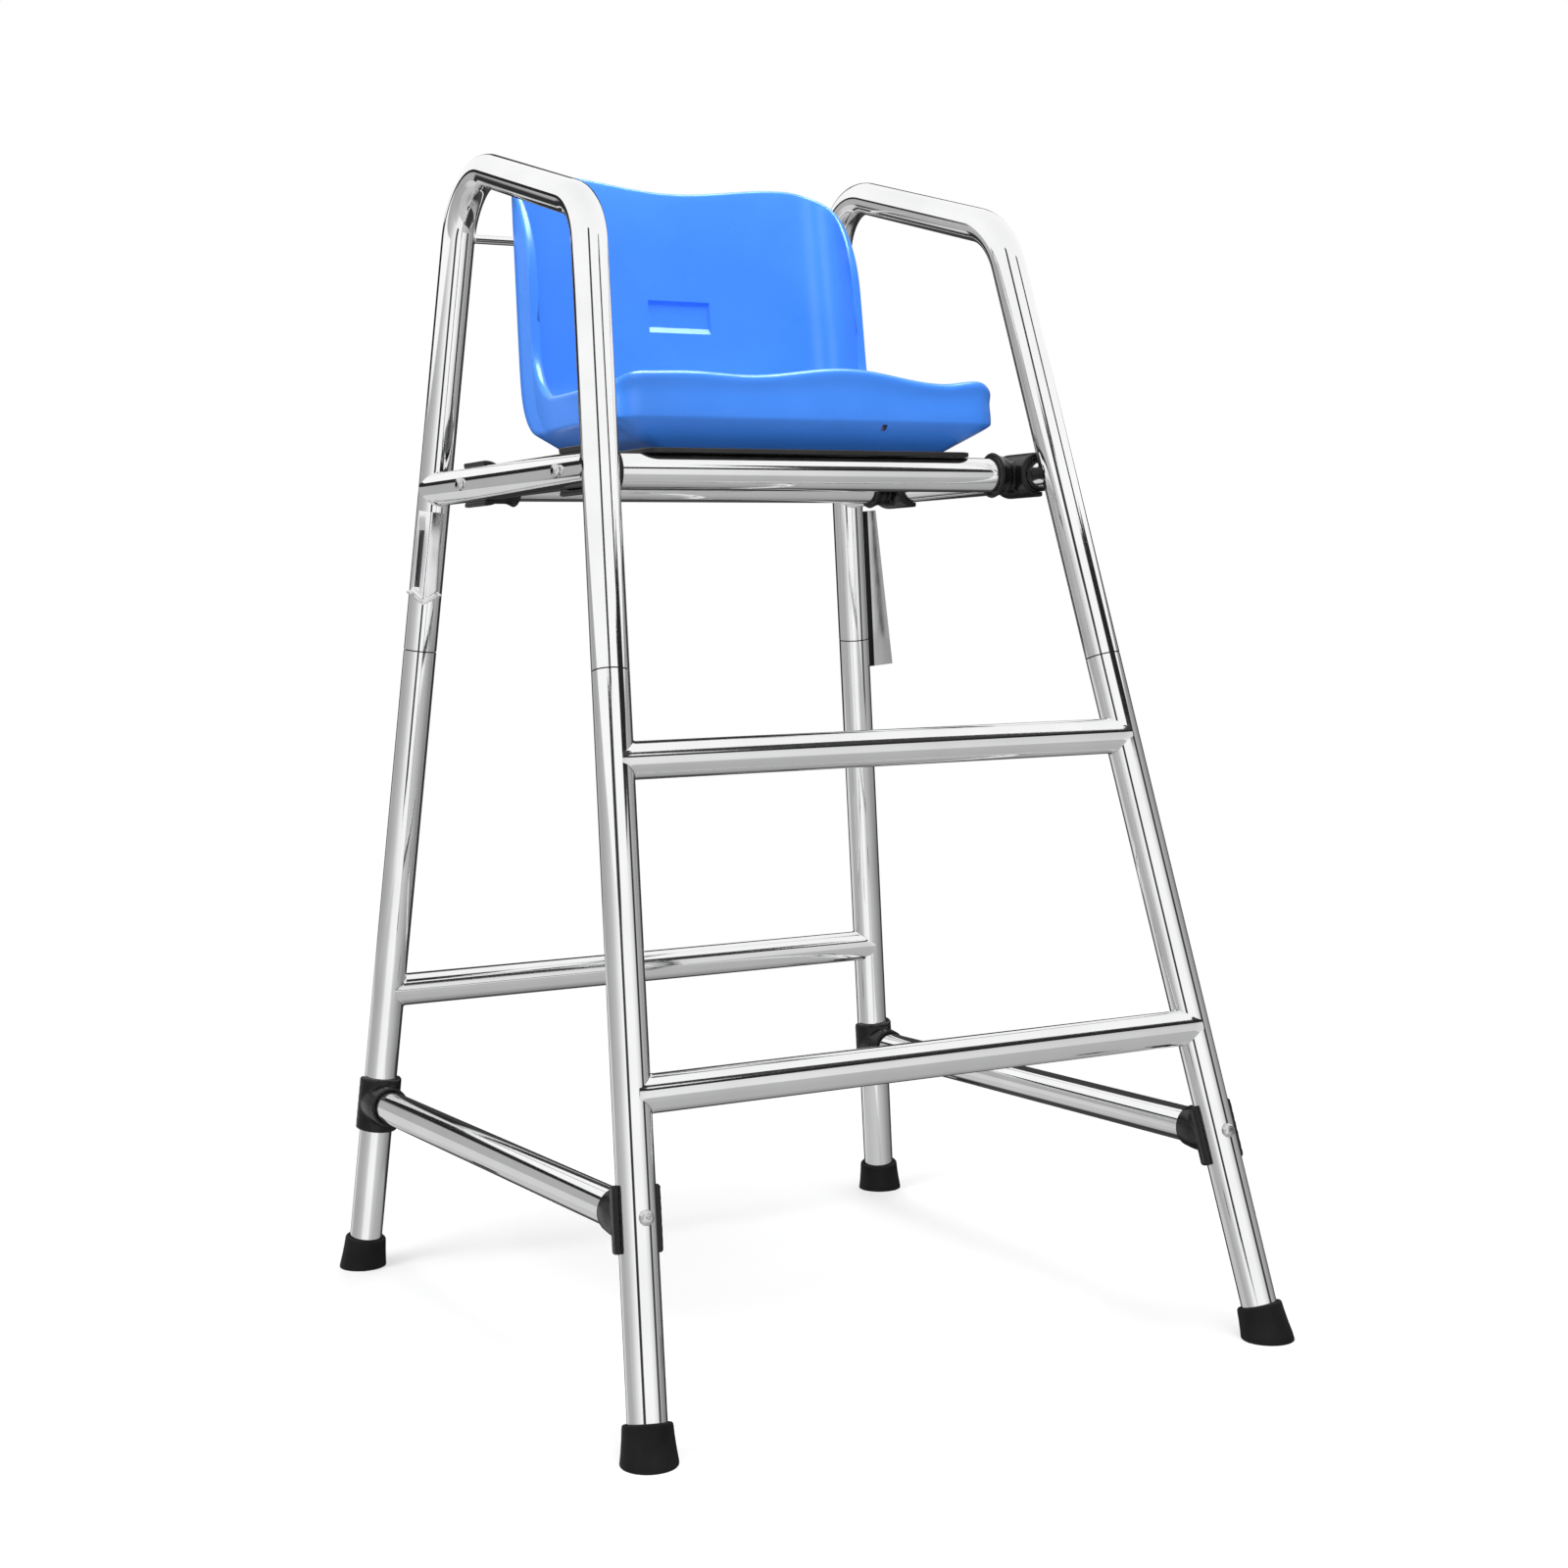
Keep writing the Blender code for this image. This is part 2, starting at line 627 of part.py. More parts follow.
def tray_foot(extra):
    """Bottom edge of the tray, tucked in most at the sides, with tight corners."""
    inset = SEAT_FRONT_CORNER - TRAY_CORNER
    scale = (seat_half - TRAY_SIDE_TUCK - extra) / (seat_half - inset)
    from_y = seat_front + inset
    to_y = back_face(0.0) - inset
    y0 = seat_front + TRAY_FRONT_TUCK + extra
    y1 = back_face(0.0) - TRAY_REAR_TUCK - extra
    points = []
    for zone, share, mirror in loop:
        x, y = outline(zone, share, 0.0, inset)
        y = y0 + (y - from_y) * (y1 - y0) / (to_y - from_y)
        points.append(Vector((mirror * x * scale, y, seat_low)))
    return points


def pan_ring(scale, drop):
    """Ring of the pan, drawn in towards its middle."""
    mid = 0.5 * (seat_front + seat_rear)
    points = []
    for zone, share, mirror in loop:
        x, y = outline(zone, share, pan_h, SEAT_WALL + SEAT_FILLET)
        points.append(Vector((mirror * x * scale, mid + (y - mid) * scale, seat_low + pan_h - drop)))
    return points


def fillet_top(zone, share):
    return pan_h + min(SEAT_FILLET, SEAT_FILLET_SHARE * (rim_height(zone, share) - pan_h))


def fillet_ring(angle):
    def height_of(zone, share):
        return pan_h + (fillet_top(zone, share) - pan_h) * (1.0 - sin(angle))

    return seat_ring(height_of, SEAT_WALL + SEAT_FILLET * (1.0 - cos(angle)))


def outer_ring(part):
    def height_of(zone, share):
        low = SEAT_FOLD_H + SEAT_FOLD_EDGE
        return low + part * (rim_height(zone, share) - SEAT_RIM_ROUND - low)

    return seat_ring(height_of, 0.0)


def inner_ring(part):
    def height_of(zone, share):
        low = fillet_top(zone, share)
        return low + part * (rim_height(zone, share) - SEAT_RIM_ROUND - low)

    return seat_ring(height_of, SEAT_WALL)


def level_ring(z, inset):
    return seat_ring(lambda zone, share: z, inset)


roof = pan_h - SEAT_WALL
pan = [pan_ring(0.6, 0.7 * SEAT_DISH), pan_ring(0.08, SEAT_DISH)]
rings = [[p - Z_AXIS * SEAT_WALL for p in points] for points in reversed(pan)]
rings.append(level_ring(roof, SEAT_WALL + SEAT_FILLET))
rings.append(level_ring(roof - SEAT_FOLD_EDGE, SEAT_WALL + SEAT_FOLD_EDGE))
rings.append(level_ring(SEAT_FOLD_H, SEAT_WALL))
rings += [tray_foot(TRAY_FLANGE), tray_foot(0.0)]
rings.append(level_ring(SEAT_FOLD_H - SEAT_FOLD_EDGE, SEAT_FOLD_EDGE))
rings += [outer_ring(part) for part in (0.0, 0.06, 0.16, 0.58, 1.0)]
rings.append(seat_ring(rim_height, SEAT_WALL / 2.0))
rings += [inner_ring(part) for part in (1.0, 0.67, 0.33)]
rings += [fillet_ring(pi * part / 4.0) for part in (0, 1, 2)]
seat = build("seat_shell", rings + pan, "cap", BLUE)

# Shallow pocket in the middle of the seat back.
pocket_z = pan_h + POCKET_RISE
pocket_y = outline("top", 1.0, pocket_z, SEAT_WALL)[1]
lean = Vector((0.0, SEAT_RECLINE, 1.0)).normalized()
inward = Vector((0.0, lean.z, -lean.y))
middle = Vector((0.0, pocket_y, seat_low + pocket_z))
starts = (-POCKET_W / 2.0, -POCKET_H / 2.0, -SEAT_FILLET)
ends = (POCKET_W / 2.0, POCKET_H / 2.0, POCKET_DEPTH)
carve(seat, box_cutter("pocket_cutter", middle, (X_AXIS, lean, inward), starts, ends))

# Square drain hole through the front of the tray.
middle = Vector((DRAIN_X, seat_front, seat_low + DRAIN_RISE))
starts = (-DRAIN_W / 2.0, -DRAIN_W / 2.0, -SEAT_WALL)
ends = (DRAIN_W / 2.0, DRAIN_W / 2.0, TRAY_FRONT_TUCK + TRAY_FLANGE)
carve(seat, box_cutter("drain_cutter", middle, (X_AXIS, Z_AXIS, Y_AXIS), starts, ends))
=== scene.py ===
import bpy
import bmesh
from math import acos, cos, pi, radians, sin, sqrt, tan
from mathutils import Matrix, Vector


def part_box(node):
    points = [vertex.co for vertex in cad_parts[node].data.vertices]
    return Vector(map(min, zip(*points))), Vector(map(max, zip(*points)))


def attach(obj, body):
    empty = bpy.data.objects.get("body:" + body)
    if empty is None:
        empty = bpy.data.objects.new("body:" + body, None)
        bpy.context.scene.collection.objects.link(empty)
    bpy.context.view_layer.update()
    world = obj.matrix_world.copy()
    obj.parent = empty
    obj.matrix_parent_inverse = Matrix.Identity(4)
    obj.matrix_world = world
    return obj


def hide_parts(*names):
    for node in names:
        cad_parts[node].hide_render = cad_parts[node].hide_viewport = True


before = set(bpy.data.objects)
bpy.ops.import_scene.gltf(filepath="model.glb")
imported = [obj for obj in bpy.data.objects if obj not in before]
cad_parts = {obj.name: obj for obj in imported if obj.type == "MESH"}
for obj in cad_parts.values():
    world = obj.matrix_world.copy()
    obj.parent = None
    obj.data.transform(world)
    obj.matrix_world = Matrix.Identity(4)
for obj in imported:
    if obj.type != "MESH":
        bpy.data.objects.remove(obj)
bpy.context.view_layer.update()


# Side frames. Each is one length of polished stainless tube, 38 mm across, bent twice
# into the upper front leg, the arm rest and the upper back leg.
tube_r = 0.019
tube_wall = 0.0015
tube_sides = 72
half_width = 0.363
half_depth = 0.400
inward_lean = 0.0928
rake = {"front": 0.265, "rear": -0.097}
splice_z = {"front": 0.7235, "rear": 0.740}
arm_z = {"front": 1.199, "rear": 1.297}
bend_r = 0.075
bend_steps = {"front": 18, "rear": 32}
fit_gap = 0.0003
splice_gap = 0.0014
sharp_angle = radians(40.0)
vert_limit = 100000
hands = ((-1, "left"), (1, "right"))
ends = ("front", "rear")


def leg_point(side, end, z):
    """Point on the centre line of a leg at a height."""
    foot_y = -half_depth if end == "front" else half_depth
    return Vector((side * (half_width - inward_lean * z), foot_y + rake[end] * z, z))


def leg_way(side, end):
    """Direction up a leg."""
    return Vector((-side * inward_lean, rake[end], 1.0)).normalized()


def ring_of(bm, point, way, radius, sides):
    """Circle of verts square to a direction."""
    place = Matrix.Translation(point) @ way.to_track_quat("Z", "Y").to_matrix().to_4x4()
    return bmesh.ops.create_circle(bm, segments=sides, radius=radius, matrix=place)["verts"]


def ring_edges(ring):
    """Edges between the verts of one or more rings."""
    members = set(ring)
    near = dict.fromkeys(e for v in ring for e in v.link_edges)
    return [e for e in near if set(e.verts) <= members]


def ring_middle(ring):
    return sum((v.co for v in ring), Vector()) / len(ring)


def tube_end(bm, point, way):
    """Outer and inner circle of the frame tube, square to a direction."""
    return [v for r in (tube_r, tube_r - tube_wall) for v in ring_of(bm, point, way, r, tube_sides)]


def verts_in(made):
    """Verts among what an operator made."""
    return [v for v in made if isinstance(v, bmesh.types.BMVert)]


def draw_on(bm, ring, way):
    """Draws rings on along a vector and returns the new verts."""
    fresh = verts_in(bmesh.ops.extrude_edge_only(bm, edges=ring_edges(ring))["geom"])
    bmesh.ops.translate(bm, verts=fresh, vec=way)
    return fresh


def square_to(way, axis):
    """What is left of a vector without its part along an axis."""
    return way - axis * way.dot(axis)


def bend_on(bm, ring, corner, way_in, way_out, steps):
    """Runs rings up to a corner and round it on the bend radius."""
    turn = acos(way_in.dot(way_out))
    set_back = bend_r * tan(turn / 2.0)
    start = corner - way_in * set_back
    ring = draw_on(bm, ring, start - ring_middle(ring))
    inward = square_to(way_out, way_in).normalized()
    spun = bmesh.ops.spin(
        bm, geom=ring + ring_edges(ring), cent=start + inward * bend_r,
        axis=way_in.cross(inward), angle=turn, steps=steps, use_duplicate=False)
    return verts_in(spun["geom_last"])


def close_wall(bm, *rings):
    """Closes a tube's wall at its ends."""
    for ring in rings:
        bmesh.ops.bridge_loops(bm, edges=ring_edges(ring))


def noise_on(finish, scale, detail, stretch=(1.0, 1.0, 1.0)):
    """Noise in the object's own metres, stretched if asked."""
    nodes, links = finish.node_tree.nodes, finish.node_tree.links
    coords = nodes.new("ShaderNodeTexCoord")
    mapping = nodes.new("ShaderNodeMapping")
    mapping.inputs["Scale"].default_value = stretch
    noise = nodes.new("ShaderNodeTexNoise")
    noise.inputs["Scale"].default_value = scale
    noise.inputs["Detail"].default_value = detail
    links.new(coords.outputs["Object"], mapping.inputs["Vector"])
    links.new(mapping.outputs["Vector"], noise.inputs["Vector"])
    return noise


def tint(finish, noise, dark, light):
    """Colour that wanders between two near shades."""
    nodes, links = finish.node_tree.nodes, finish.node_tree.links
    ramp = nodes.new("ShaderNodeValToRGB")
    ramp.color_ramp.elements[0].position = 0.32
    ramp.color_ramp.elements[0].color = (*dark, 1.0)
    ramp.color_ramp.elements[1].position = 0.70
    ramp.color_ramp.elements[1].color = (*light, 1.0)
    links.new(noise.outputs["Fac"], ramp.inputs["Fac"])
    links.new(ramp.outputs["Color"], nodes["Principled BSDF"].inputs["Base Color"])


def spread_of(nodes, links, value, low, high, to_low=0.0, to_high=1.0):
    """Map Range node that carries a value from one range to another."""
    spread = nodes.new("ShaderNodeMapRange")
    for word, level in (("From Min", low), ("From Max", high), ("To Min", to_low), ("To Max", to_high)):
        spread.inputs[word].default_value = level
    links.new(value, spread.inputs["Value"])
    return spread


def gloss(finish, noise, smooth, rough):
    """Roughness that wanders between two levels."""
    nodes, links = finish.node_tree.nodes, finish.node_tree.links
    spread = spread_of(nodes, links, noise.outputs["Fac"], 0.3, 0.7, smooth, rough)
    links.new(spread.outputs["Result"], nodes["Principled BSDF"].inputs["Roughness"])


def relief(finish, noise, height, strength):
    """Fine surface relief, its height in metres."""
    nodes, links = finish.node_tree.nodes, finish.node_tree.links
    bump = nodes.new("ShaderNodeBump")
    bump.inputs["Strength"].default_value = strength
    bump.inputs["Distance"].default_value = height
    links.new(noise.outputs["Fac"], bump.inputs["Height"])
    links.new(bump.outputs["Normal"], nodes["Principled BSDF"].inputs["Normal"])


def new_finish(name, metallic, specular=0.5):
    finish = bpy.data.materials.new(name)
    finish.use_nodes = True
    shader = finish.node_tree.nodes["Principled BSDF"]
    shader.inputs["Metallic"].default_value = metallic
    shader.inputs["Specular IOR Level"].default_value = specular
    return finish


def place_mesh(name, mesh, finish, slot, *nodes):
    """Puts a mesh in the chair in place of its plain solids."""
    mesh.name = name
    mesh.polygons.foreach_set("use_smooth", [True] * len(mesh.polygons))
    mesh.set_sharp_from_angle(angle=sharp_angle)
    mesh.materials.clear()
    mesh.materials.append(finish)
    piece = bpy.data.objects.new(name, mesh)
    bpy.context.scene.collection.objects.link(piece)
    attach(piece, "root")
    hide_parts(*nodes)
    return piece


def vert_order(part):
    """Number that puts edges or faces in the order of their lowest verts."""
    lowest = sorted(v.index for v in part.verts)[:3]
    return sum(k * vert_limit ** (2 - n) for n, k in enumerate(lowest))


def mesh_of(name, bm):
    """Mesh of a body, sorted, because the operators' own order varies from run to run."""
    bm.verts.index_update()
    bm.edges.sort(key=vert_order)
    bm.faces.sort(key=vert_order)
    mesh = bpy.data.meshes.new(name)
    bm.to_mesh(mesh)
    bm.free()
    return mesh


def place_piece(name, bm, finish, slot, *nodes):
    """Puts a body in the chair in place of its plain solids."""
    bmesh.ops.recalc_face_normals(bm, faces=bm.faces)
    return place_mesh(name, mesh_of(name, bm), finish, slot, *nodes)


mirror_steel = new_finish("mirror polished stainless", 1.0)
clouds = noise_on(mirror_steel, 14.0, 3.0)
tint(mirror_steel, clouds, (0.90, 0.902, 0.908), (0.955, 0.957, 0.96))
buffing = noise_on(mirror_steel, 260.0, 6.0)
gloss(mirror_steel, buffing, 0.035, 0.08)
relief(mirror_steel, buffing, 0.00002, 0.02)

for side, word in hands:
    up, down = leg_way(side, "front"), -leg_way(side, "rear")
    front_corner = leg_point(side, "front", arm_z["front"])
    rear_corner = leg_point(side, "rear", arm_z["rear"])
    along = (rear_corner - front_corner).normalized()
    start = leg_point(side, "front", splice_z["front"]) + up * splice_gap / 2.0
    stop = leg_point(side, "rear", splice_z["rear"]) - down * splice_gap / 2.0
    bm = bmesh.new()
    first = tube_end(bm, start, up)
    ring = bend_on(bm, first, front_corner, up, along, bend_steps["front"])
    ring = bend_on(bm, ring, rear_corner, along, down, bend_steps["rear"])
    bend_end = ring_middle(ring)
    last = draw_on(bm, ring, stop - bend_end)
    close_wall(bm, first, last)
    place_piece(word + "_arch", bm, mirror_steel, "polished_tube", word + "_arch_tube")


# Lower legs. Straight lengths of the same tube, which meet the side frames at a fine
# splice line over an inner sleeve.
foot_floor = 0.014


def straight_tube(start, stop):
    """Length of the frame tube with square ends."""
    bm = bmesh.new()
    first = tube_end(bm, start, (stop - start).normalized())
    last = draw_on(bm, first, stop - start)
    close_wall(bm, first, last)
    return bm


mill_steel = new_finish("unpolished inner sleeve", 1.0)
scale_marks = noise_on(mill_steel, 90.0, 4.0)
tint(mill_steel, scale_marks, (0.035, 0.035, 0.036), (0.07, 0.07, 0.072))
gloss(mill_steel, scale_marks, 0.45, 0.60)

for side, word in hands:
    for end in ends:
        way = leg_way(side, end)
        low = leg_point(side, end, 0.0) + way * (foot_floor + fit_gap)
        high = leg_point(side, end, splice_z[end]) - way * splice_gap / 2.0
        bm = straight_tube(low, high)
        name = end + "_" + word
        place_piece(name + "_leg", bm, mirror_steel, "polished_tube", name + "_lower_leg")
        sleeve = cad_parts[name + "_splice_sleeve"]
        sleeve.data.materials.clear()
        sleeve.data.materials.append(mill_steel)


# Side rails at seat height, steps, rear bar and the slim bar behind the seat back. Cut
# to the round of the legs and welded, with the weld polished to a small fillet.
rail_z = 0.926
fit_r = tube_r + fit_gap
weld_run = 0.0024
weld_flare = 0.0010
back_bar_r = 0.005
back_bar_rise = 0.004
bar_rows = (
    ("step_lower", "front", 0.325, tube_r, "lower_step"),
    ("step_upper", "front", 0.637, tube_r, "upper_step"),
    ("bar_rear", "rear", 0.336, tube_r, "rear_cross_bar"),
    ("bar_back", "rear", bend_end.z + back_bar_rise, back_bar_r, "back_bar"),
)


def slide_to_host(ring, way, host, host_way, reach, sign):
    """Slides end verts along the bar on to the round of the host tube."""
    flat_way = square_to(way, host_way)
    square = flat_way.length_squared
    for v in ring:
        off = square_to(v.co - host, host_way)
        half = off.dot(flat_way)
        root = sqrt(max(0.0, half * half - square * (off.length_squared - reach * reach)))
        v.co += way * ((sign * root - half) / square)


def welded_tube(start, stop, host_ways, radius):
    """Tube between two leg centre lines, its ends cut to them and flared by the weld."""
    bm = bmesh.new()
    way = (stop - start).normalized()
    rings = {}
    for r in (radius, radius - tube_wall):
        ring = ring_of(bm, start, way, r, tube_sides)
        rings[r] = (ring, draw_on(bm, ring, stop - start))
    for which, host, sign in ((0, start, 1.0), (1, stop, -1.0)):
        outer, inner = rings[radius][which], rings[radius - tube_wall][which]
        flare = draw_on(bm, outer, Vector())
        for v in flare:
            v.co += square_to(v.co - host, way).normalized() * weld_flare
        slide_to_host(outer, way, host, host_ways[which], tube_r + weld_run, sign)
        slide_to_host(flare + inner, way, host, host_ways[which], fit_r, sign)
        bmesh.ops.bridge_loops(bm, edges=ring_edges(flare) + ring_edges(inner))
    return bm


for side, word in hands:
    ways = (leg_way(side, "front"), leg_way(side, "rear"))
    bm = welded_tube(leg_point(side, "front", rail_z), leg_point(side, "rear", rail_z), ways, tube_r)
    place_piece(word + "_rail", bm, mirror_steel, "polished_tube", word + "_side_rail")
for name, end, z, radius, node in bar_rows:
    ways = (leg_way(-1, end), leg_way(1, end))
    bm = welded_tube(leg_point(-1, end, z), leg_point(1, end, z), ways, radius)
    place_piece(name, bm, mirror_steel, "polished_tube", node)


# Rubber feet. Moulded black cups, flared to the floor, pushed over the leg ends; the
# soles are cut level with the floor.
foot_low = -0.020
sole_edge = 0.0016
merge_gap = 1e-6
foot_profile = (
    (0.0, foot_low), (0.0290, foot_low), (0.0276, 0.002), (0.0262, 0.012), (0.0249, 0.024),
    (0.0242, 0.0335), (0.0239, 0.0355), (0.0230, 0.0367), (0.0218, 0.0370), (0.0200, 0.0366),
    (fit_r, 0.0355), (fit_r, foot_floor), (0.0, foot_floor))

black_rubber = new_finish("black rubber", 0.0, 0.22)
tint(black_rubber, noise_on(black_rubber, 30.0, 4.0), (0.002, 0.002, 0.002), (0.007, 0.007, 0.007))
pores = noise_on(black_rubber, 900.0, 5.0)
gloss(black_rubber, pores, 0.50, 0.66)
relief(black_rubber, pores, 0.00012, 0.22)


def spun_body(profile, point, way, steps):
    """Solid turned about an axis from a profile of (radius, height) pairs."""
    bm = bmesh.new()
    side = way.orthogonal().normalized()
    verts = [bm.verts.new(point + side * r + way * h) for r, h in profile]
    edges = [bm.edges.new(pair) for pair in zip(verts, verts[1:])]
    bmesh.ops.spin(
        bm, geom=verts + edges, cent=point, axis=way, angle=2.0 * pi, steps=steps, use_merge=True)
    bmesh.ops.remove_doubles(bm, verts=bm.verts, dist=merge_gap)
    bmesh.ops.recalc_face_normals(bm, faces=bm.faces)
    return bm


for side, word in hands:
    for end in ends:
        bm = spun_body(foot_profile, leg_point(side, end, 0.0), leg_way(side, end), tube_sides)
        everything = bm.verts[:] + bm.edges[:] + bm.faces[:]
        cut = bmesh.ops.bisect_plane(
            bm, geom=everything, plane_co=(0.0, 0.0, 0.0), plane_no=(0.0, 0.0, 1.0), clear_inner=True)
        sole_edges = [e for e in cut["geom_cut"] if isinstance(e, bmesh.types.BMEdge)]
        bmesh.ops.contextual_create(bm, geom=sole_edges)
        bmesh.ops.bevel(
            bm, geom=sole_edges, offset=sole_edge, segments=3, profile=0.5, affect="EDGES", material=-1)
        name = end + "_" + word
        place_piece(name + "_rubber", bm, black_rubber, "black_rubber", name + "_foot")


# Tee connectors. Moulded glossy black nylon: a saddle round the host tube that runs into
# a cup for the end of the bar; domed on the legs, waisted with a flared mouth and a rib
# below on the side rails. All corners are rounded by the mould.
saddle_length = 0.064
saddle_r = 0.0249
saddle_edge = 0.002
saddle_wrap = radians(97.0)
cup_root = 0.004
cup_pocket = 0.0315
cup_reach = 0.044
mouth_reach = 0.0454
dome_profile = (
    (0.0, cup_root), (0.0243, cup_root), (0.0246, 0.022), (0.0243, 0.029), (0.0236, 0.035), (0.0229, 0.040),
    (0.0226, 0.0432), (0.0217, cup_reach), (fit_r, cup_reach), (fit_r, cup_pocket), (0.0, cup_pocket))
waist_profile = (
    (0.0, cup_root), (0.0178, cup_root), (0.0168, 0.021), (0.0174, 0.0265), (0.0210, 0.0305),
    (0.0219, 0.036), (0.0236, 0.0405), (0.0254, 0.0440), (0.0246, mouth_reach), (fit_r, mouth_reach),
    (fit_r, cup_pocket), (0.0, cup_pocket))
rib_from, rib_to, rib_low, rib_wide = 0.012, 0.0440, 0.0214, 0.016
rail_y = {end: sum(corner[1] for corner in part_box(end + "_cross_rail")) / 2.0 for end in ends}
rail_x = half_width - inward_lean * rail_z
side_bar_z = {"front": 0.2145, "rear": 0.2010}

black_nylon = new_finish("black moulded nylon", 0.0, 0.32)
tint(black_nylon, noise_on(black_nylon, 40.0, 4.0), (0.003, 0.003, 0.003), (0.007, 0.007, 0.007))
skin = noise_on(black_nylon, 700.0, 5.0)
gloss(black_nylon, skin, 0.20, 0.30)
relief(black_nylon, skin, 0.00006, 0.12)


def made_real(bm, prepare):
    """Mesh of a body after its modifiers; the stand-in object is removed."""
    mesh = mesh_of("blank", bm)
    blank = bpy.data.objects.new("blank", mesh)
    bpy.context.scene.collection.objects.link(blank)
    prepare(blank)
    graph = bpy.context.evaluated_depsgraph_get()
    real = bpy.data.meshes.new_from_object(blank.evaluated_get(graph))
    bpy.data.objects.remove(blank, do_unlink=True)
    bpy.data.meshes.remove(mesh)
    return real


def mould(blank):
    """Melts overlapping bodies into one skin with rounded inner corners."""
    melt = blank.modifiers.new("melt", "REMESH")
    melt.mode = "VOXEL"
    melt.voxel_size = 0.0009
    ease = blank.modifiers.new("ease", "SMOOTH")
    ease.factor = 0.5
    ease.iterations = 9


def carved(bm, tool_bm, prepare):
    """Cuts a tool's bodies out of a body, after its own modifiers."""
    bmesh.ops.recalc_face_normals(tool_bm, faces=tool_bm.faces)
    tool_mesh = mesh_of("tool", tool_bm)
    tool = bpy.data.objects.new("tool", tool_mesh)
    bpy.context.scene.collection.objects.link(tool)

    def cut(blank):
        prepare(blank)
        away = blank.modifiers.new("away", "BOOLEAN")
        away.operation = "DIFFERENCE"
        away.solver = "MANIFOLD"
        away.object = tool

    real = made_real(bm, cut)
    bpy.data.objects.remove(tool, do_unlink=True)
    bpy.data.meshes.remove(tool_mesh)
    return real


def drill(tool_bm, start, stop):
    """Adds a bore for the frame tube to a tool."""
    first = ring_of(tool_bm, start, (stop - start).normalized(), fit_r, tube_sides)
    last = draw_on(tool_bm, first, stop - start)
    for ring in (first, last):
        bmesh.ops.contextual_create(tool_bm, geom=ring_edges(ring))


def tee_mesh(point, host_way, bar_way):
    """Saddle along the host tube and cup along the bar, melted into one and bored for both."""
    out = square_to(bar_way, host_way).normalized()
    across = host_way.cross(out)
    on_rail = abs(host_way.y) > 0.99
    bm = spun_body(waist_profile if on_rail else dome_profile, point, bar_way, steps=64)
    if on_rail:
        rib = bmesh.ops.create_cube(bm, size=1.0)["verts"]
        bmesh.ops.scale(bm, vec=(rib_to - rib_from, rib_wide, rib_low), verts=rib)
        middle = point + bar_way * 0.5 * (rib_from + rib_to) - Vector((0.0, 0.0, rib_low / 2.0))
        bmesh.ops.translate(bm, vec=middle, verts=rib)
    first = cos(saddle_wrap) * out - sin(saddle_wrap) * across
    half = saddle_length / 2.0
    section = ((tube_r, -half), (saddle_r - saddle_edge, -half), (saddle_r, saddle_edge - half),
               (saddle_r, half - saddle_edge), (saddle_r - saddle_edge, half), (tube_r, half))
    verts = [bm.verts.new(point + first * r + host_way * h) for r, h in section]
    face = bm.faces.new(verts)
    bmesh.ops.spin(
        bm, geom=verts + face.edges[:] + [face], cent=point, axis=host_way, angle=2.0 * saddle_wrap,
        steps=40, use_duplicate=False)
    bmesh.ops.recalc_face_normals(bm, faces=bm.faces)
    bores = bmesh.new()
    reach = host_way * saddle_length
    drill(bores, point - reach, point + reach)
    drill(bores, point + bar_way * cup_pocket, point + bar_way * 2.0 * cup_reach)
    return carved(bm, bores, mould)


tee_rows = []
for side, word in hands:
    bar_ends = {end: leg_point(side, end, side_bar_z[end]) for end in ends}
    for end, other in zip(ends, reversed(ends)):
        point = Vector((side * rail_x, rail_y[end], rail_z))
        tee_rows.append((end + "_rail_" + word, point, Vector((0, 1, 0)), Vector((-side, 0, 0))))
        bar_way = (bar_ends[other] - bar_ends[end]).normalized()
        tee_rows.append((word + "_bar_" + end, bar_ends[end], leg_way(side, end), bar_way))
for name, point, host_way, bar_way in tee_rows:
    mesh = tee_mesh(point, host_way, bar_way)
    place_mesh("tee_" + name, mesh, black_nylon, "black_nylon", name + "_tee")


# Tee bolts. Stainless button heads with a six sided socket, screwed through the host
# tube into the tee from the far side.
bolt_r = 0.004
bolt_bite = 0.009
bolt_edge = 0.0008
head_profile = (
    (0.0075, 0.0), (0.00748, 0.0010), (0.0071, 0.0024), (0.0063, 0.0036), (0.0052, 0.0044),
    (0.0044, 0.0047), (0.0040, 0.0048))
socket_r = 0.0032
socket_depth = 0.0028
shank = tube_r + bolt_bite
bolt_profile = ((0.0, shank), (bolt_r - bolt_edge, shank), (bolt_r, shank - bolt_edge), (bolt_r, -fit_r))
bolt_profile += tuple((r, -fit_r - h) for r, h in head_profile)

bolt_steel = new_finish("turned bolt steel", 1.0)
tint(bolt_steel, noise_on(bolt_steel, 120.0, 4.0), (0.62, 0.62, 0.63), (0.78, 0.78, 0.79))
turning = noise_on(bolt_steel, 1500.0, 3.0)
gloss(bolt_steel, turning, 0.14, 0.30)
relief(bolt_steel, turning, 0.00003, 0.15)

for name, point, host_way, bar_way in tee_rows:
    out = square_to(bar_way, host_way).normalized()
    bm = spun_body(bolt_profile, point, out, steps=48)
    head_edge = [e for e in bm.edges if len(e.link_faces) == 1]
    top = point - out * (fit_r + head_profile[-1][1])
    hexagon = ring_of(bm, top, out, socket_r, sides=6)
    socket_floor = draw_on(bm, hexagon, out * socket_depth)
    bmesh.ops.contextual_create(bm, geom=ring_edges(socket_floor))
    bmesh.ops.bridge_loops(bm, edges=head_edge + ring_edges(hexagon))
    place_piece("bolt_" + name, bm, bolt_steel, "bolt_steel", name + "_tee_bolt")


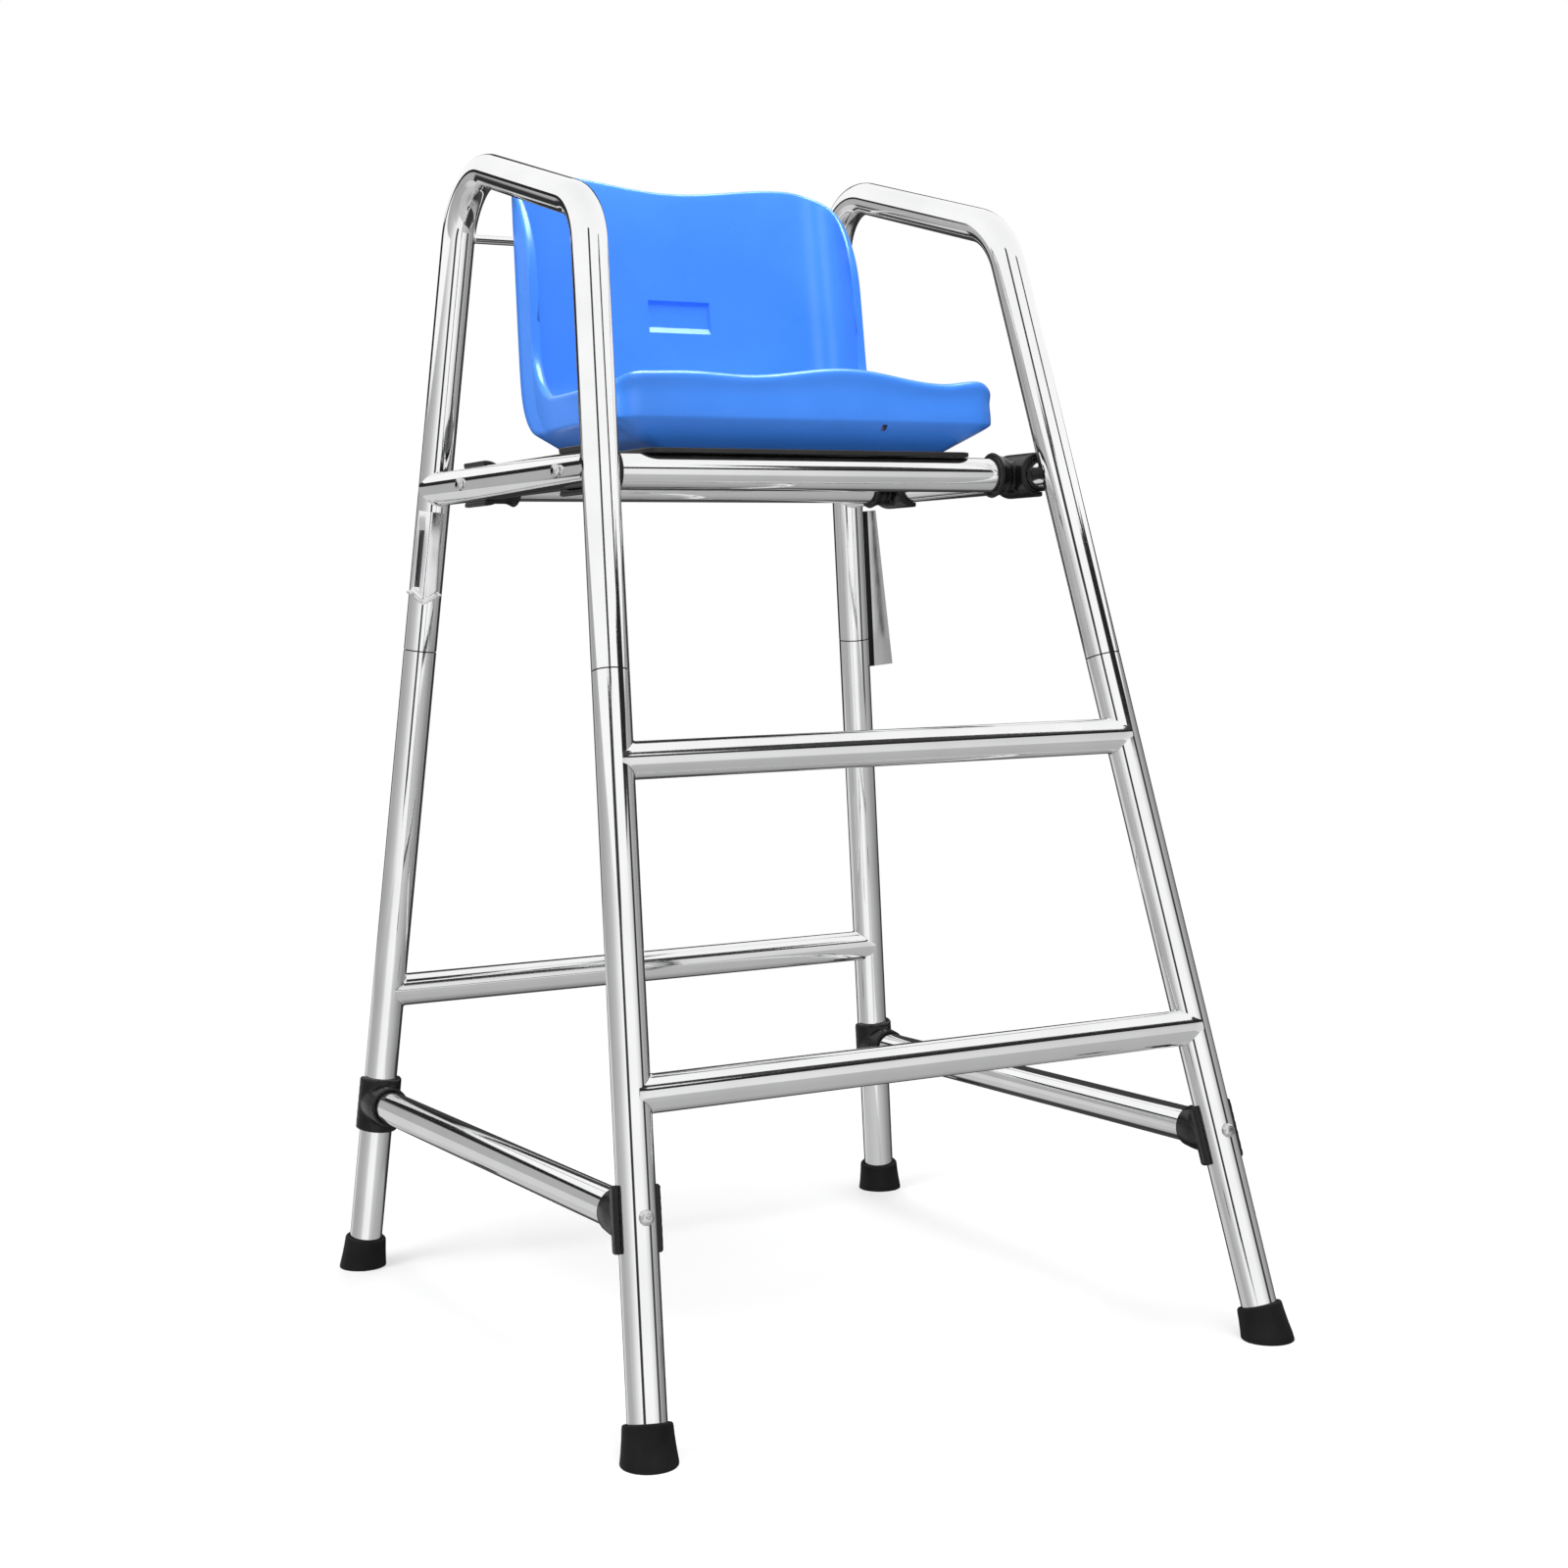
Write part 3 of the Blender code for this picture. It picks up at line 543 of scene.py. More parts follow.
# Cross rails below the seat and low side bars. Plain straight tubes, their ends pushed
# into the cups of the tees.
for end in ends:
    reach = Vector((rail_x - cup_pocket - fit_gap, 0, 0))
    middle = Vector((0, rail_y[end], rail_z))
    bm = straight_tube(middle - reach, middle + reach)
    place_piece("rail_" + end, bm, mirror_steel, "polished_tube", end + "_cross_rail")
for side, word in hands:
    start, stop = (leg_point(side, end, side_bar_z[end]) for end in ends)
    inset = (stop - start).normalized() * (cup_pocket + fit_gap)
    bm = straight_tube(start + inset, stop - inset)
    place_piece("side_bar_" + word, bm, mirror_steel, "polished_tube", word + "_side_bar")


# Hook bracket on the left back leg. Thin stainless sheet folded to an angle, with a
# slot in one face and its pointed foot turned out as a lip; fixed over the tube.
sheet_t = 0.0022
below_rail = 0.006
bracket_face = 0.0165
bracket_point = 0.012
bracket_turn = radians(24.0)
bracket_slant = radians(30.0)
bracket_fold = 0.015
bracket_shares = (-1.0, -0.7, -0.4, -0.2, -0.1, 0.0, 0.1, 0.2, 0.4, 0.7, 1.0)
bracket_drops = (
    (0.0, 0.0, 0.0), (0.045, 0.5, 0.0), (0.0885, 1.0, 0.0), (0.0908, 1.0, 0.0006), (0.0926, 1.0, 0.0020),
    (0.0938, 1.0, 0.0042), (0.0943, 1.0, 0.0070))
slot_size = (0.007, 0.010, 0.066)
slot_drop = 0.022
slot_from_ridge = 0.0095
# Size and colour of the painted shade on the tube behind the slot.
slot_shade_size, slot_painted_shade = (0.0062, 0.012, 0.050), (0.10, 0.10, 0.105, 1.0)

sheet_steel = new_finish("bent stainless sheet", 1.0)
tint(sheet_steel, noise_on(sheet_steel, 25.0, 4.0), (0.84, 0.84, 0.85), (0.92, 0.92, 0.93))
brushing = noise_on(sheet_steel, 420.0, 5.0, (1.0, 1.0, 0.06))
gloss(sheet_steel, brushing, 0.16, 0.26)
relief(sheet_steel, brushing, 0.00004, 0.10)


def draw_to(bm, row, points):
    """Draws a row on, each vert to its own point, and returns the new row."""
    fresh = set(draw_on(bm, row, Vector()))
    row = [next(e.other_vert(v) for e in v.link_edges if e.other_vert(v) in fresh) for v in row]
    for v, point in zip(row, points):
        v.co = point
    return row


def sheet_of(rows):
    """Sheet drawn on row by row from its first edge."""
    bm = bmesh.new()
    row = [bm.verts.new(point) for point in rows[0]]
    for pair in zip(row, row[1:]):
        bm.edges.new(pair)
    for points in rows[1:]:
        row = draw_to(bm, row, points)
    bmesh.ops.recalc_face_normals(bm, faces=bm.faces)
    return bm


def thicken(blank):
    wall = blank.modifiers.new("wall", "SOLIDIFY")
    wall.thickness = sheet_t
    wall.offset = 0.0


def break_edges(blank, width=0.0004, angle=sharp_angle):
    edge = blank.modifiers.new("edge", "BEVEL")
    edge.width = width
    edge.segments = 2
    edge.limit_method = "ANGLE"
    edge.angle_limit = angle


def painted_shade_spot(finish, place, half_size, shade):
    """Paints shade into an oval patch of a finish, darker as a deep corner or recess is in shade."""
    nodes, links = finish.node_tree.nodes, finish.node_tree.links
    colour = nodes["Principled BSDF"].inputs["Base Color"]
    coords = nodes.new("ShaderNodeTexCoord")
    mapping = nodes.new("ShaderNodeMapping")
    mapping.vector_type = "TEXTURE"
    mapping.inputs["Location"].default_value = place.translation
    mapping.inputs["Rotation"].default_value = place.to_euler()
    mapping.inputs["Scale"].default_value = half_size
    oval = nodes.new("ShaderNodeTexGradient")
    oval.gradient_type = "SPHERICAL"
    edge = spread_of(nodes, links, oval.outputs["Fac"], 0.0, 0.2)
    both = nodes.new("ShaderNodeMix")
    both.data_type = "RGBA"
    both.inputs["B"].default_value = shade
    links.new(coords.outputs["Object"], mapping.inputs["Vector"])
    links.new(mapping.outputs["Vector"], oval.inputs["Vector"])
    links.new(edge.outputs["Result"], both.inputs["Factor"])
    links.new(colour.links[0].from_socket, both.inputs["A"])
    links.new(both.outputs["Result"], colour)


def bm_of(mesh):
    bm = bmesh.new()
    bm.from_mesh(mesh)
    bpy.data.meshes.remove(mesh)
    return bm


leg = leg_way(-1, "rear")
ridge = square_to(Vector((-sin(bracket_turn), -cos(bracket_turn), 0.0)), leg).normalized()
across = leg.cross(ridge)
top = leg_point(-1, "rear", rail_z - tube_r - below_rail)
stand_off = fit_r + sheet_t / 2.0
rows = []
for drop, pointed, lip in bracket_drops:
    row = []
    for share in bracket_shares:
        fold = sqrt(share * share + bracket_fold) - sqrt(bracket_fold)
        spot = top - leg * (drop + bracket_point * pointed * (1.0 - abs(share)))
        spot += ridge * ((stand_off + lip) / cos(bracket_slant))
        spot += across * share * cos(bracket_slant) * (bracket_face + lip)
        row.append(spot - ridge * fold * sin(bracket_slant) * (bracket_face + lip))
    rows.append(row)
slot_way = -cos(bracket_slant) * across - sin(bracket_slant) * ridge
slot_out = leg.cross(slot_way)
middle = top - leg * (slot_drop + slot_size[2] / 2.0) + slot_way * slot_from_ridge
middle += ridge * (stand_off / cos(bracket_slant))
slot = bmesh.new()
bmesh.ops.create_cube(slot, size=1.0)
bmesh.ops.scale(slot, vec=slot_size, verts=slot.verts)
turn = Matrix((slot_way, slot_out, leg)).transposed().to_4x4()
place = Matrix.Translation(middle) @ turn
bmesh.ops.transform(slot, matrix=place, verts=slot.verts)
# Painted shade on the polished tube behind the slot, where the bent sheet shades it.
painted_shade_spot(mirror_steel, place, slot_shade_size, slot_painted_shade)
mesh = made_real(bm_of(carved(sheet_of(rows), slot, thicken)), break_edges)
place_mesh("bracket", mesh, sheet_steel, "steel_sheet", "hook_bracket")


# Hanger plate on the right back leg. A tapered strip of the same sheet with a folded
# flange that lies along the outer side of the leg.
hanger_length = 0.200
hanger_widths = (0.019, 0.034)
hanger_flange = 0.010
fold_r, fold_steps = 0.0028, 5
# Place, size and colour of the painted shade and dark reflection along the fold.
fold_shade_out = 0.0030
fold_shade_size, fold_painted_shade = (0.0044, 0.010, 0.300), (0.02, 0.02, 0.021, 1.0)

leg = leg_way(1, "rear")
out = square_to(Vector((1.0, 0.0, 0.0)), leg).normalized()
fore = out.cross(leg)
top = leg_point(1, "rear", rail_z - tube_r - below_rail) + out * fit_r
face = hanger_flange / 2.0 - sheet_t / 2.0
rows = []
for share in (0.0, 0.25, 0.5, 0.75, 1.0):
    width = hanger_widths[0] + (hanger_widths[1] - hanger_widths[0]) * share
    section = [(sheet_t / 2.0, -hanger_flange / 2.0)]
    for k in range(fold_steps + 1):
        turn = 0.5 * pi * k / fold_steps
        section.append((sheet_t / 2.0 + fold_r * (1.0 - cos(turn)), face - fold_r * (1.0 - sin(turn))))
    section += [(0.5 * (width + fold_r), face), (width, face)]
    rows.append([top - leg * hanger_length * share + out * o + fore * f for o, f in section])
place = Matrix((out, -fore, leg)).transposed().to_4x4()
place.translation = top - leg * hanger_length / 2.0 + out * fold_shade_out + fore * face
# Painted shade and dark reflection in a strip along the fold, next to the leg.
painted_shade_spot(sheet_steel, place, fold_shade_size, fold_painted_shade)
mesh = made_real(bm_of(made_real(sheet_of(rows), thicken)), break_edges)
place_mesh("hanger", mesh, sheet_steel, "steel_sheet", "hanger_plate")


# Seat base plate. Flat black painted sheet laid across the two cross rails, its corners
# cut round and its edges rounded by the paint.
plate_corner, plate_edge = 0.018, 0.0009
low, high = (Vector(corner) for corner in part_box("seat_base_plate"))

black_paint = new_finish("black painted plate", 0.0)
tint(black_paint, noise_on(black_paint, 18.0, 4.0), (0.008, 0.008, 0.009), (0.016, 0.016, 0.017))
peel = noise_on(black_paint, 600.0, 3.0)
gloss(black_paint, peel, 0.32, 0.44)
relief(black_paint, peel, 0.00006, 0.15)

bm = bmesh.new()
bmesh.ops.create_cube(bm, size=1.0)
bmesh.ops.scale(bm, vec=high - low, verts=bm.verts)
bmesh.ops.translate(bm, vec=(low + high) / 2.0, verts=bm.verts)
upright = [e for e in bm.edges if abs(e.verts[0].co.z - e.verts[1].co.z) > merge_gap]
bmesh.ops.bevel(
    bm, geom=upright, offset=plate_corner, segments=10, profile=0.5, affect="EDGES", material=-1)
flat = [f for f in bm.faces if abs(f.normal.z) > 0.9]
rims = [e for f in flat for e in f.edges]
bmesh.ops.bevel(bm, geom=rims, offset=plate_edge, segments=3, profile=0.5, affect="EDGES", material=-1)
place_piece("plate", bm, black_paint, "black_plate", "seat_base_plate")


# Seat shell. One moulding in satin blue plastic: a tray that stands on the plate, a
# dished pan with a waved front lip, low sides and a winged back with a shallow pocket.
low, high = (Vector(corner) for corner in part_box("seat_shell"))
seat_low = low.z
seat_front = low.y
seat_half = high.x
wall = 0.005
fold_h, fold_edge = 0.030, 0.0016
edge_r, top_r = 0.0058, 0.0034
rim_lift = 0.0004
pan_h = 0.048
flank_h = 0.067
wing_fillet = 0.060
wing_h = flank_h + wing_fillet
high_h = high.z - low.z
crown = 0.013
top_round = 0.115
top_run = 0.018
lip_wave = (
    (-1.0, 0.0782), (-0.73, 0.0797), (-0.395, 0.0769), (0.185, 0.0871), (0.805, 0.0734), (1.0, 0.0782))
lip_hollow = (
    (0.0, 0.0), (0.06, 0.0), (0.16, 0.0), (0.30, 0.0002), (0.46, 0.0008), (0.62, 0.0014), (0.78, 0.0012),
    (0.90, 0.0004), (1.0, 0.0))
front_corner_r, back_corner_r = 0.031, 0.040
narrowing, taper, taper_from = 0.0195, 0.017, 0.100
wing_depth = 0.072
recline, heel, heel_h = 0.095, 0.034, 0.050
seat_rear = high.y - recline * (high_h - fold_h)
fillet, fillet_share = 0.034, 0.72
dish = 0.006
roof_corner = 0.002
tray_corner, tray_side, tray_front, tray_rear = 0.012, 0.057, 0.025, 0.012
tray_flange, tray_lip, tray_edge = 0.010, 0.0022, 0.0015
zone_counts = (
    ("front", 12), ("corner", 5), ("flank", 4), ("sweep", 8), ("edge", 3), ("wing", 12), ("top", 6))
pocket_x, pocket_z = 0.004, pan_h + 0.1280
pocket_floor = (0.0398, 0.0150, 0.0120, 0.0041)
pocket_mouth = (0.0412, 0.0224, 0.0254, -0.0040)
pocket_edge, pocket_edge_angle = 0.0007, radians(24.0)
drain_x, drain_y, drain_h = 0.086, 0.020, 0.0245
drain_size = (0.0068, 0.060, 0.0066)
# Size and colour of the painted shade inside the drain hole.
drain_shade_size, drain_painted_shade = (0.0075, 0.0075, 0.0045), (0.004, 0.012, 0.050, 1.0)

blue_plastic = new_finish("satin blue plastic", 0.0, 0.34)
tint(blue_plastic, noise_on(blue_plastic, 9.0, 3.0), (0.046, 0.222, 0.800), (0.058, 0.250, 0.870))
orange_peel = noise_on(blue_plastic, 420.0, 5.0)
gloss(blue_plastic, orange_peel, 0.27, 0.33)
relief(blue_plastic, orange_peel, 0.00003, 0.06)


def back_face(z):
    """Rear face of the seat at a height: rounded in at the heel, then leaning."""
    above = max(0.0, z - fold_h)
    tuck = max(0.0, 1.0 - above / heel_h)
    return seat_rear + recline * above - heel * (1.0 - sqrt(1.0 - tuck * tuck))


def seat_plan(zone, share, z, inset):
    """Plan point of a rim station at a height, drawn in by an inset."""
    front = seat_front + inset
    rear = back_face(z) - inset
    wing_y = back_face(z) - wing_depth
    wide = seat_half - inset
    narrow = wide - narrowing - taper * max(0.0, z - taper_from)
    front_r = max(wall, front_corner_r - inset)
    back_r = max(wall, back_corner_r - inset)
    start = front + front_r
    turn = 0.5 * pi * share
    if zone == "front":
        return (wide - front_r) * share, front
    if zone == "corner":
        return wide - front_r * (1.0 - sin(turn)), front + front_r * (1.0 - cos(turn))
    if zone in ("flank", "sweep"):
        y = wing_y - wing_fillet * (1.0 - sin(turn))
        if zone == "flank":
            y = start + (wing_y - wing_fillet - start) * share
        return wide - (wide - narrow) * (y - start) / (wing_y - start), y
    if zone == "edge":
        return narrow, wing_y
    if zone == "top":
        return (narrow - back_r - top_run) * (1.0 - share), rear
    run = rear - back_r - wing_y
    arc = 0.5 * pi * back_r
    way = (run + arc + top_run) * (1.0 - cos(turn))
    if way < run:
        return narrow, wing_y + way
    if way > run + arc:
        return narrow - back_r - (way - run - arc), rear
    t = (way - run) / back_r
    return narrow - back_r * (1.0 - cos(t)), rear - back_r * (1.0 - sin(t))


def rim_height(zone, share):
    """Waved front lip, level sides, swept wings and a hollowed top edge."""
    turn = 0.5 * pi * share
    if zone == "front":
        (s0, h0), (s1, h1) = next(pair for pair in zip(lip_wave, lip_wave[1:]) if share <= pair[1][0])
        return h0 + (h1 - h0) * (0.5 - 0.5 * cos(pi * (share - s0) / (s1 - s0)))
    if zone == "corner":
        lip_end = lip_wave[-1][1]
        return lip_end + (flank_h - lip_end) * sin(turn) ** 2
    if zone == "flank":
        return flank_h
    if zone == "sweep":
        return wing_h - wing_fillet * cos(turn)
    if zone == "edge":
        return wing_h + (high_h - top_round - wing_h) * share
    if zone == "wing":
        return high_h - top_round * (1.0 - sin(turn))
    return high_h - crown * sin(turn) ** 2


half_rim = [(zone, k / count) for zone, count in zone_counts for k in range(count)] + [("top", 1.0)]
rim = [(zone, share, 1.0) for zone, share in half_rim]
for zone, share in reversed(half_rim[1:-1]):
    rim.append((zone, -share, 1.0) if zone == "front" else (zone, share, -1.0))


def seat_ring(height_of, inset_of):
    points = []
    for zone, share, mirror in rim:
        z = height_of(zone, share)
        x, y = seat_plan(zone, share, z, inset_of(zone, share))
        points.append(Vector((mirror * x, y, seat_low + z)))
    return points


def tray_ring(extra, z):
    """Foot of the tray, tucked in most at the sides, with tight corners."""
    inset = front_corner_r - tray_corner
    scale = (seat_half - tray_side - extra) / (seat_half - inset)
    from_y, to_y = seat_front + inset, back_face(0.0) - inset
    y0, y1 = seat_front + tray_front + extra, back_face(0.0) - tray_rear - extra
    points = []
    for zone, share, mirror in rim:
        x, y = seat_plan(zone, share, 0.0, inset)
        y = y0 + (y - from_y) * (y1 - y0) / (to_y - from_y)
        points.append(Vector((mirror * x * scale, y, seat_low + z)))
    return points


def pan_ring(scale, drop):
    """Ring of the pan, drawn in towards its middle."""
    mid = 0.5 * (seat_front + seat_rear)
    points = []
    for zone, share, mirror in rim:
        x, y = seat_plan(zone, share, pan_h, wall + fillet)
        points.append(Vector((mirror * x * scale, mid + (y - mid) * scale, seat_low + pan_h - drop)))
    return points


def rim_r(zone, share):
    """Half the thickness of the rolled rim, which thins up the wings to the top edge."""
    if zone == "top":
        return top_r
    return edge_r + (top_r - edge_r) * share if zone == "wing" else edge_r


def roll_low(zone, share):
    """Height at which the rolled rim starts."""
    return rim_height(zone, share) - rim_r(zone, share)


def fillet_top(zone, share):
    return pan_h + min(fillet, fillet_share * (rim_height(zone, share) - pan_h))


def fillet_ring(angle):
    """Ring of the round from the walls into the pan."""
    return seat_ring(
        lambda zone, share: pan_h + (fillet_top(zone, share) - pan_h) * (1.0 - sin(angle)),
        lambda zone, share: wall + fillet * (1.0 - cos(angle)))


def outer_ring(part, hollow):
    """Ring of the outside above the fold, drawn in below the front lip."""
    low_h = fold_h + fold_edge
    return seat_ring(
        lambda zone, share: low_h + part * (roll_low(zone, share) - low_h),
        lambda zone, share: hollow * (zone in ("front", "corner", "flank")))


def rolled_ring(angle):
    """Ring of the rolled rim, from its outer side at 0 over its top to its inner side."""
    return seat_ring(
        lambda zone, share: rim_height(zone, share) + rim_lift - rim_r(zone, share) * (1.0 - sin(angle)),
        lambda zone, share: rim_r(zone, share) * (1.0 - cos(angle)))


def inner_ring(part):
    """Ring of the inside between the fillet and the rolled rim."""
    return seat_ring(
        lambda zone, share: fillet_top(zone, share)
        + part * (roll_low(zone, share) - fillet_top(zone, share)),
        lambda zone, share: wall + (2.0 * rim_r(zone, share) - wall) * part ** 3)


def level_ring(z, inset):
    return seat_ring(lambda zone, share: z, lambda zone, share: inset)


roof = pan_h - wall
pan_shares = ((0.8, 0.35), (0.6, 0.7), (0.35, 0.92), (0.08, 1.0))
pan_rings = [pan_ring(scale, depth * dish) for scale, depth in pan_shares]
rings = [[p - Vector((0, 0, wall)) for p in points] for points in reversed(pan_rings)]
rings.append(level_ring(roof, wall + fillet))
rings.append(level_ring(roof - roof_corner, wall + roof_corner))
rings.append(level_ring(fold_h, wall))
rings += [tray_ring(tray_flange, tray_lip), tray_ring(tray_flange, 0.0)]
rings += [tray_ring(tray_edge, 0.0), tray_ring(0.0, tray_edge)]
rings.append(level_ring(fold_h - fold_edge, fold_edge))
rings += [outer_ring(part, hollow) for part, hollow in lip_hollow]
rings += [rolled_ring(pi * part) for part in (0.2, 0.36, 0.5, 0.64, 0.8)]
rings += [inner_ring(part) for part in (1.0, 0.8, 0.5, 0.2)]
rings += [fillet_ring(0.5 * pi * part) for part in (0.0, 0.33, 0.67, 1.0)]
rings += pan_rings

bm = bmesh.new()
ring = bmesh.ops.create_circle(bm, segments=len(rim), radius=0.1)["verts"]
for v, point in zip(ring, rings[0]):
    v.co = point
bm.faces.new(ring)
for points in rings[1:]:
    ring = draw_to(bm, ring, points)
bm.faces.new(ring)
bmesh.ops.recalc_face_normals(bm, faces=bm.faces)


def round_off(blank):
    soften = blank.modifiers.new("soften", "SUBSURF")
    soften.levels = 2
    soften.render_levels = 2


sideways = Vector((1.0, 0.0, 0.0))
lean = Vector((0.0, recline, 1.0)).normalized()
inward = Vector((0.0, lean.z, -lean.y))
middle = Vector((pocket_x, seat_plan("top", 1.0, pocket_z, wall)[1], seat_low + pocket_z))
cutters = bmesh.new()
corners = bmesh.ops.create_cube(cutters, size=1.0)["verts"]
for v in corners:
    half_w, rise, drop, depth = pocket_floor if v.co.z > 0.0 else pocket_mouth
    spot = middle + sideways * (half_w if v.co.x > 0.0 else -half_w)
    v.co = spot + lean * (rise if v.co.y > 0.0 else -drop) + inward * depth
drain = bmesh.ops.create_cube(cutters, size=1.0)["verts"]
bmesh.ops.scale(cutters, vec=drain_size, verts=drain)
bmesh.ops.translate(cutters, vec=(drain_x, seat_front + drain_y, seat_low + drain_h), verts=drain)
slope = Vector((0.0, tray_front, -fold_h)).normalized()
into = sideways.cross(slope)
drain_front = seat_front + tray_front * (1.0 - drain_h / fold_h)
place = Matrix((sideways, slope, into)).transposed().to_4x4()
place.translation = Vector((drain_x, drain_front, seat_low + drain_h)) + into * drain_shade_size[2]
# Painted shade inside the small drain hole in the front of the tray.
painted_shade_spot(blue_plastic, place, drain_shade_size, drain_painted_shade)


def ease_pocket(blank):
    break_edges(blank, pocket_edge, pocket_edge_angle)


mesh = made_real(bm_of(carved(bm, cutters, round_off)), ease_pocket)
seat = place_mesh("seat", mesh, blue_plastic, "blue_seat", "seat_shell")
seat.visible_glossy = False


# Backdrop and floor. A white sky that gives the chair a weak even light, and a matt pale
# floor that keeps the shadow and fades into the white further out.
sky_stops = ((-0.30, 1.0), (0.55, 1.0), (0.90, 0.96), (1.0, 0.94))
sky_fill = 0.24
floor_r = 3.0
floor_pale, floor_dull = 0.93, 0.45
fade_from, fade_to, fade_least = 0.45, 1.35, 0.45


def grey(level):
    return level, level, level, 1.0


def set_stops(ramp, stops):
    """Gives a ramp its (position, level) stops."""
    while len(ramp.elements) < len(stops):
        ramp.elements.new(1.0)
    for element, (position, level) in zip(ramp.elements, stops):
        element.position = position
        element.color = grey(level)


def seen_ray(nodes, links):
    """Socket that is 1 for what is seen, straight on, mirrored or through glass, and else 0."""
    paths = nodes.new("ShaderNodeLightPath")
    seen = paths.outputs["Is Camera Ray"]
    for way in ("Is Glossy Ray", "Is Transmission Ray"):
        either = nodes.new("ShaderNodeMath")
        either.operation = "MAXIMUM"
        links.new(seen, either.inputs[0])
        links.new(paths.outputs[way], either.inputs[1])
        seen = either.outputs["Value"]
    return seen


def far_from_middle(nodes, links):
    """Socket with the distance from the object's middle."""
    coords = nodes.new("ShaderNodeTexCoord")
    far = nodes.new("ShaderNodeVectorMath")
    far.operation = "LENGTH"
    links.new(coords.outputs["Object"], far.inputs[0])
    return far.outputs["Value"]


def height_in(nodes, links, space):
    """Socket with the height in one of the texture spaces."""
    coords = nodes.new("ShaderNodeTexCoord")
    axes = nodes.new("ShaderNodeSeparateXYZ")
    links.new(coords.outputs[space], axes.inputs["Vector"])
    return axes.outputs["Z"]


def stage_prop(name, bm, paint):
    """Puts an object in the studio that is no piece of the chair."""
    mesh = mesh_of(name, bm)
    mesh.materials.append(paint)
    prop = bpy.data.objects.new(name, mesh)
    bpy.context.scene.collection.objects.link(prop)
    return prop


world = bpy.data.worlds.new("studio")
bpy.context.scene.world = world
world.use_nodes = True
nodes, links = world.node_tree.nodes, world.node_tree.links
sky = nodes["Background"]
climb = spread_of(nodes, links, height_in(nodes, links, "Generated"), -1.0, 1.0)
bands = nodes.new("ShaderNodeValToRGB")
set_stops(bands.color_ramp, [(0.5 * (height + 1.0), level) for height, level in sky_stops])
strength = spread_of(nodes, links, seen_ray(nodes, links), 0.0, 1.0, sky_fill, 1.0)
links.new(climb.outputs["Result"], bands.inputs["Fac"])
links.new(bands.outputs["Color"], sky.inputs["Color"])
links.new(strength.outputs["Result"], sky.inputs["Strength"])

pale = new_finish("pale floor", 0.0, 0.0)
nodes, links = pale.node_tree.nodes, pale.node_tree.links
shader = nodes["Principled BSDF"]
shader.inputs["Base Color"].default_value = grey(floor_pale)
shader.inputs["Roughness"].default_value = 0.9
dull = nodes.new("ShaderNodeBsdfDiffuse")
dull.inputs["Color"].default_value = grey(floor_dull)
seen = seen_ray(nodes, links)
seen_floor = nodes.new("ShaderNodeMixShader")
links.new(seen, seen_floor.inputs["Fac"])
links.new(dull.outputs["BSDF"], seen_floor.inputs[1])
links.new(shader.outputs["BSDF"], seen_floor.inputs[2])
fade = spread_of(nodes, links, far_from_middle(nodes, links), fade_from, fade_to, fade_least)
fade.interpolation_type = "SMOOTHSTEP"
glow_share = nodes.new("ShaderNodeMath")
glow_share.operation = "MULTIPLY"
links.new(fade.outputs["Result"], glow_share.inputs[0])
links.new(seen, glow_share.inputs[1])
glow = nodes.new("ShaderNodeEmission")
blend = nodes.new("ShaderNodeMixShader")
links.new(glow_share.outputs["Value"], blend.inputs["Fac"])
links.new(seen_floor.outputs["Shader"], blend.inputs[1])
links.new(glow.outputs["Emission"], blend.inputs[2])
links.new(blend.outputs["Shader"], nodes["Material Output"].inputs["Surface"])
bm = bmesh.new()
bmesh.ops.create_circle(bm, cap_ends=True, segments=96, radius=floor_r)
floor = stage_prop("floor", bm, pale)
floor.visible_glossy = False


# Cards. A ring of grey paper round the chair, toned by degrees from the camera's side, a
# round sheet below it and three dark strips. They show in reflections only, where they
# draw the bands on the polished tubes.
camera_side = -118.6
facing = round(0.5 + camera_side / 360.0, 4)
wall_r = 4.0
wall_back = 1.0
wall_low, rim_low, wall_top = -1.6, 1.68, 2.25
wall_h = wall_top - wall_low
zone_blur = 0.006
wall_stops = (
    (-61.0, 0.46), (-40.0, 0.56), (-26.0, 0.76), (-12.0, 0.95), (-8.0, 0.98), (-6.5, 0.04), (2.0, 0.04),
    (4.0, 0.98), (34.0, 0.98), (48.0, 0.80), (57.0, 0.56), (58.5, 0.04), (68.0, 0.04), (70.0, 0.44),
    (112.0, 0.24), (126.0, 0.03), (228.0, 0.03), (232.0, 0.42), (246.0, 0.44), (262.0, 0.38), (298.0, 0.46))
rim_stops = (
    (-61.0, 1.0), (-10.0, 1.0), (-8.0, 0.04), (4.0, 0.04), (6.0, 1.0), (40.0, 1.0), (44.0, 0.02),
    (72.0, 0.02), (76.0, 1.0), (160.0, 1.0), (164.0, 0.02), (250.0, 0.02), (254.0, 1.0), (298.0, 1.0))
low_stops = (
    (-61.0, 0.42), (-40.0, 0.50), (-26.0, 0.60), (-14.0, 0.92), (16.0, 0.98), (24.0, 0.68), (30.0, 0.58),
    (58.0, 0.44), (76.0, 0.34), (112.0, 0.20), (126.0, 0.03), (214.0, 0.03), (222.0, 0.66), (250.0, 0.66),
    (262.0, 0.42), (298.0, 0.42))
floor_stops = (
    (-61.0, 0.52), (8.0, 0.60), (26.0, 0.50), (110.0, 0.36), (138.0, 0.06), (206.0, 0.06), (220.0, 0.58),
    (298.0, 0.52))
shade_from, shade_to, shade_least = 0.5, 1.9, 0.55
strip_grey = 0.05
strip_rows = (
    ("card_strip", -2.0, 12.0, 3.4, 4.6),
    ("card_strip_right", 64.5, 10.0, 3.2, 3.4),
    ("card_back", 180.0, 30.0, 4.4, 3.6),
)


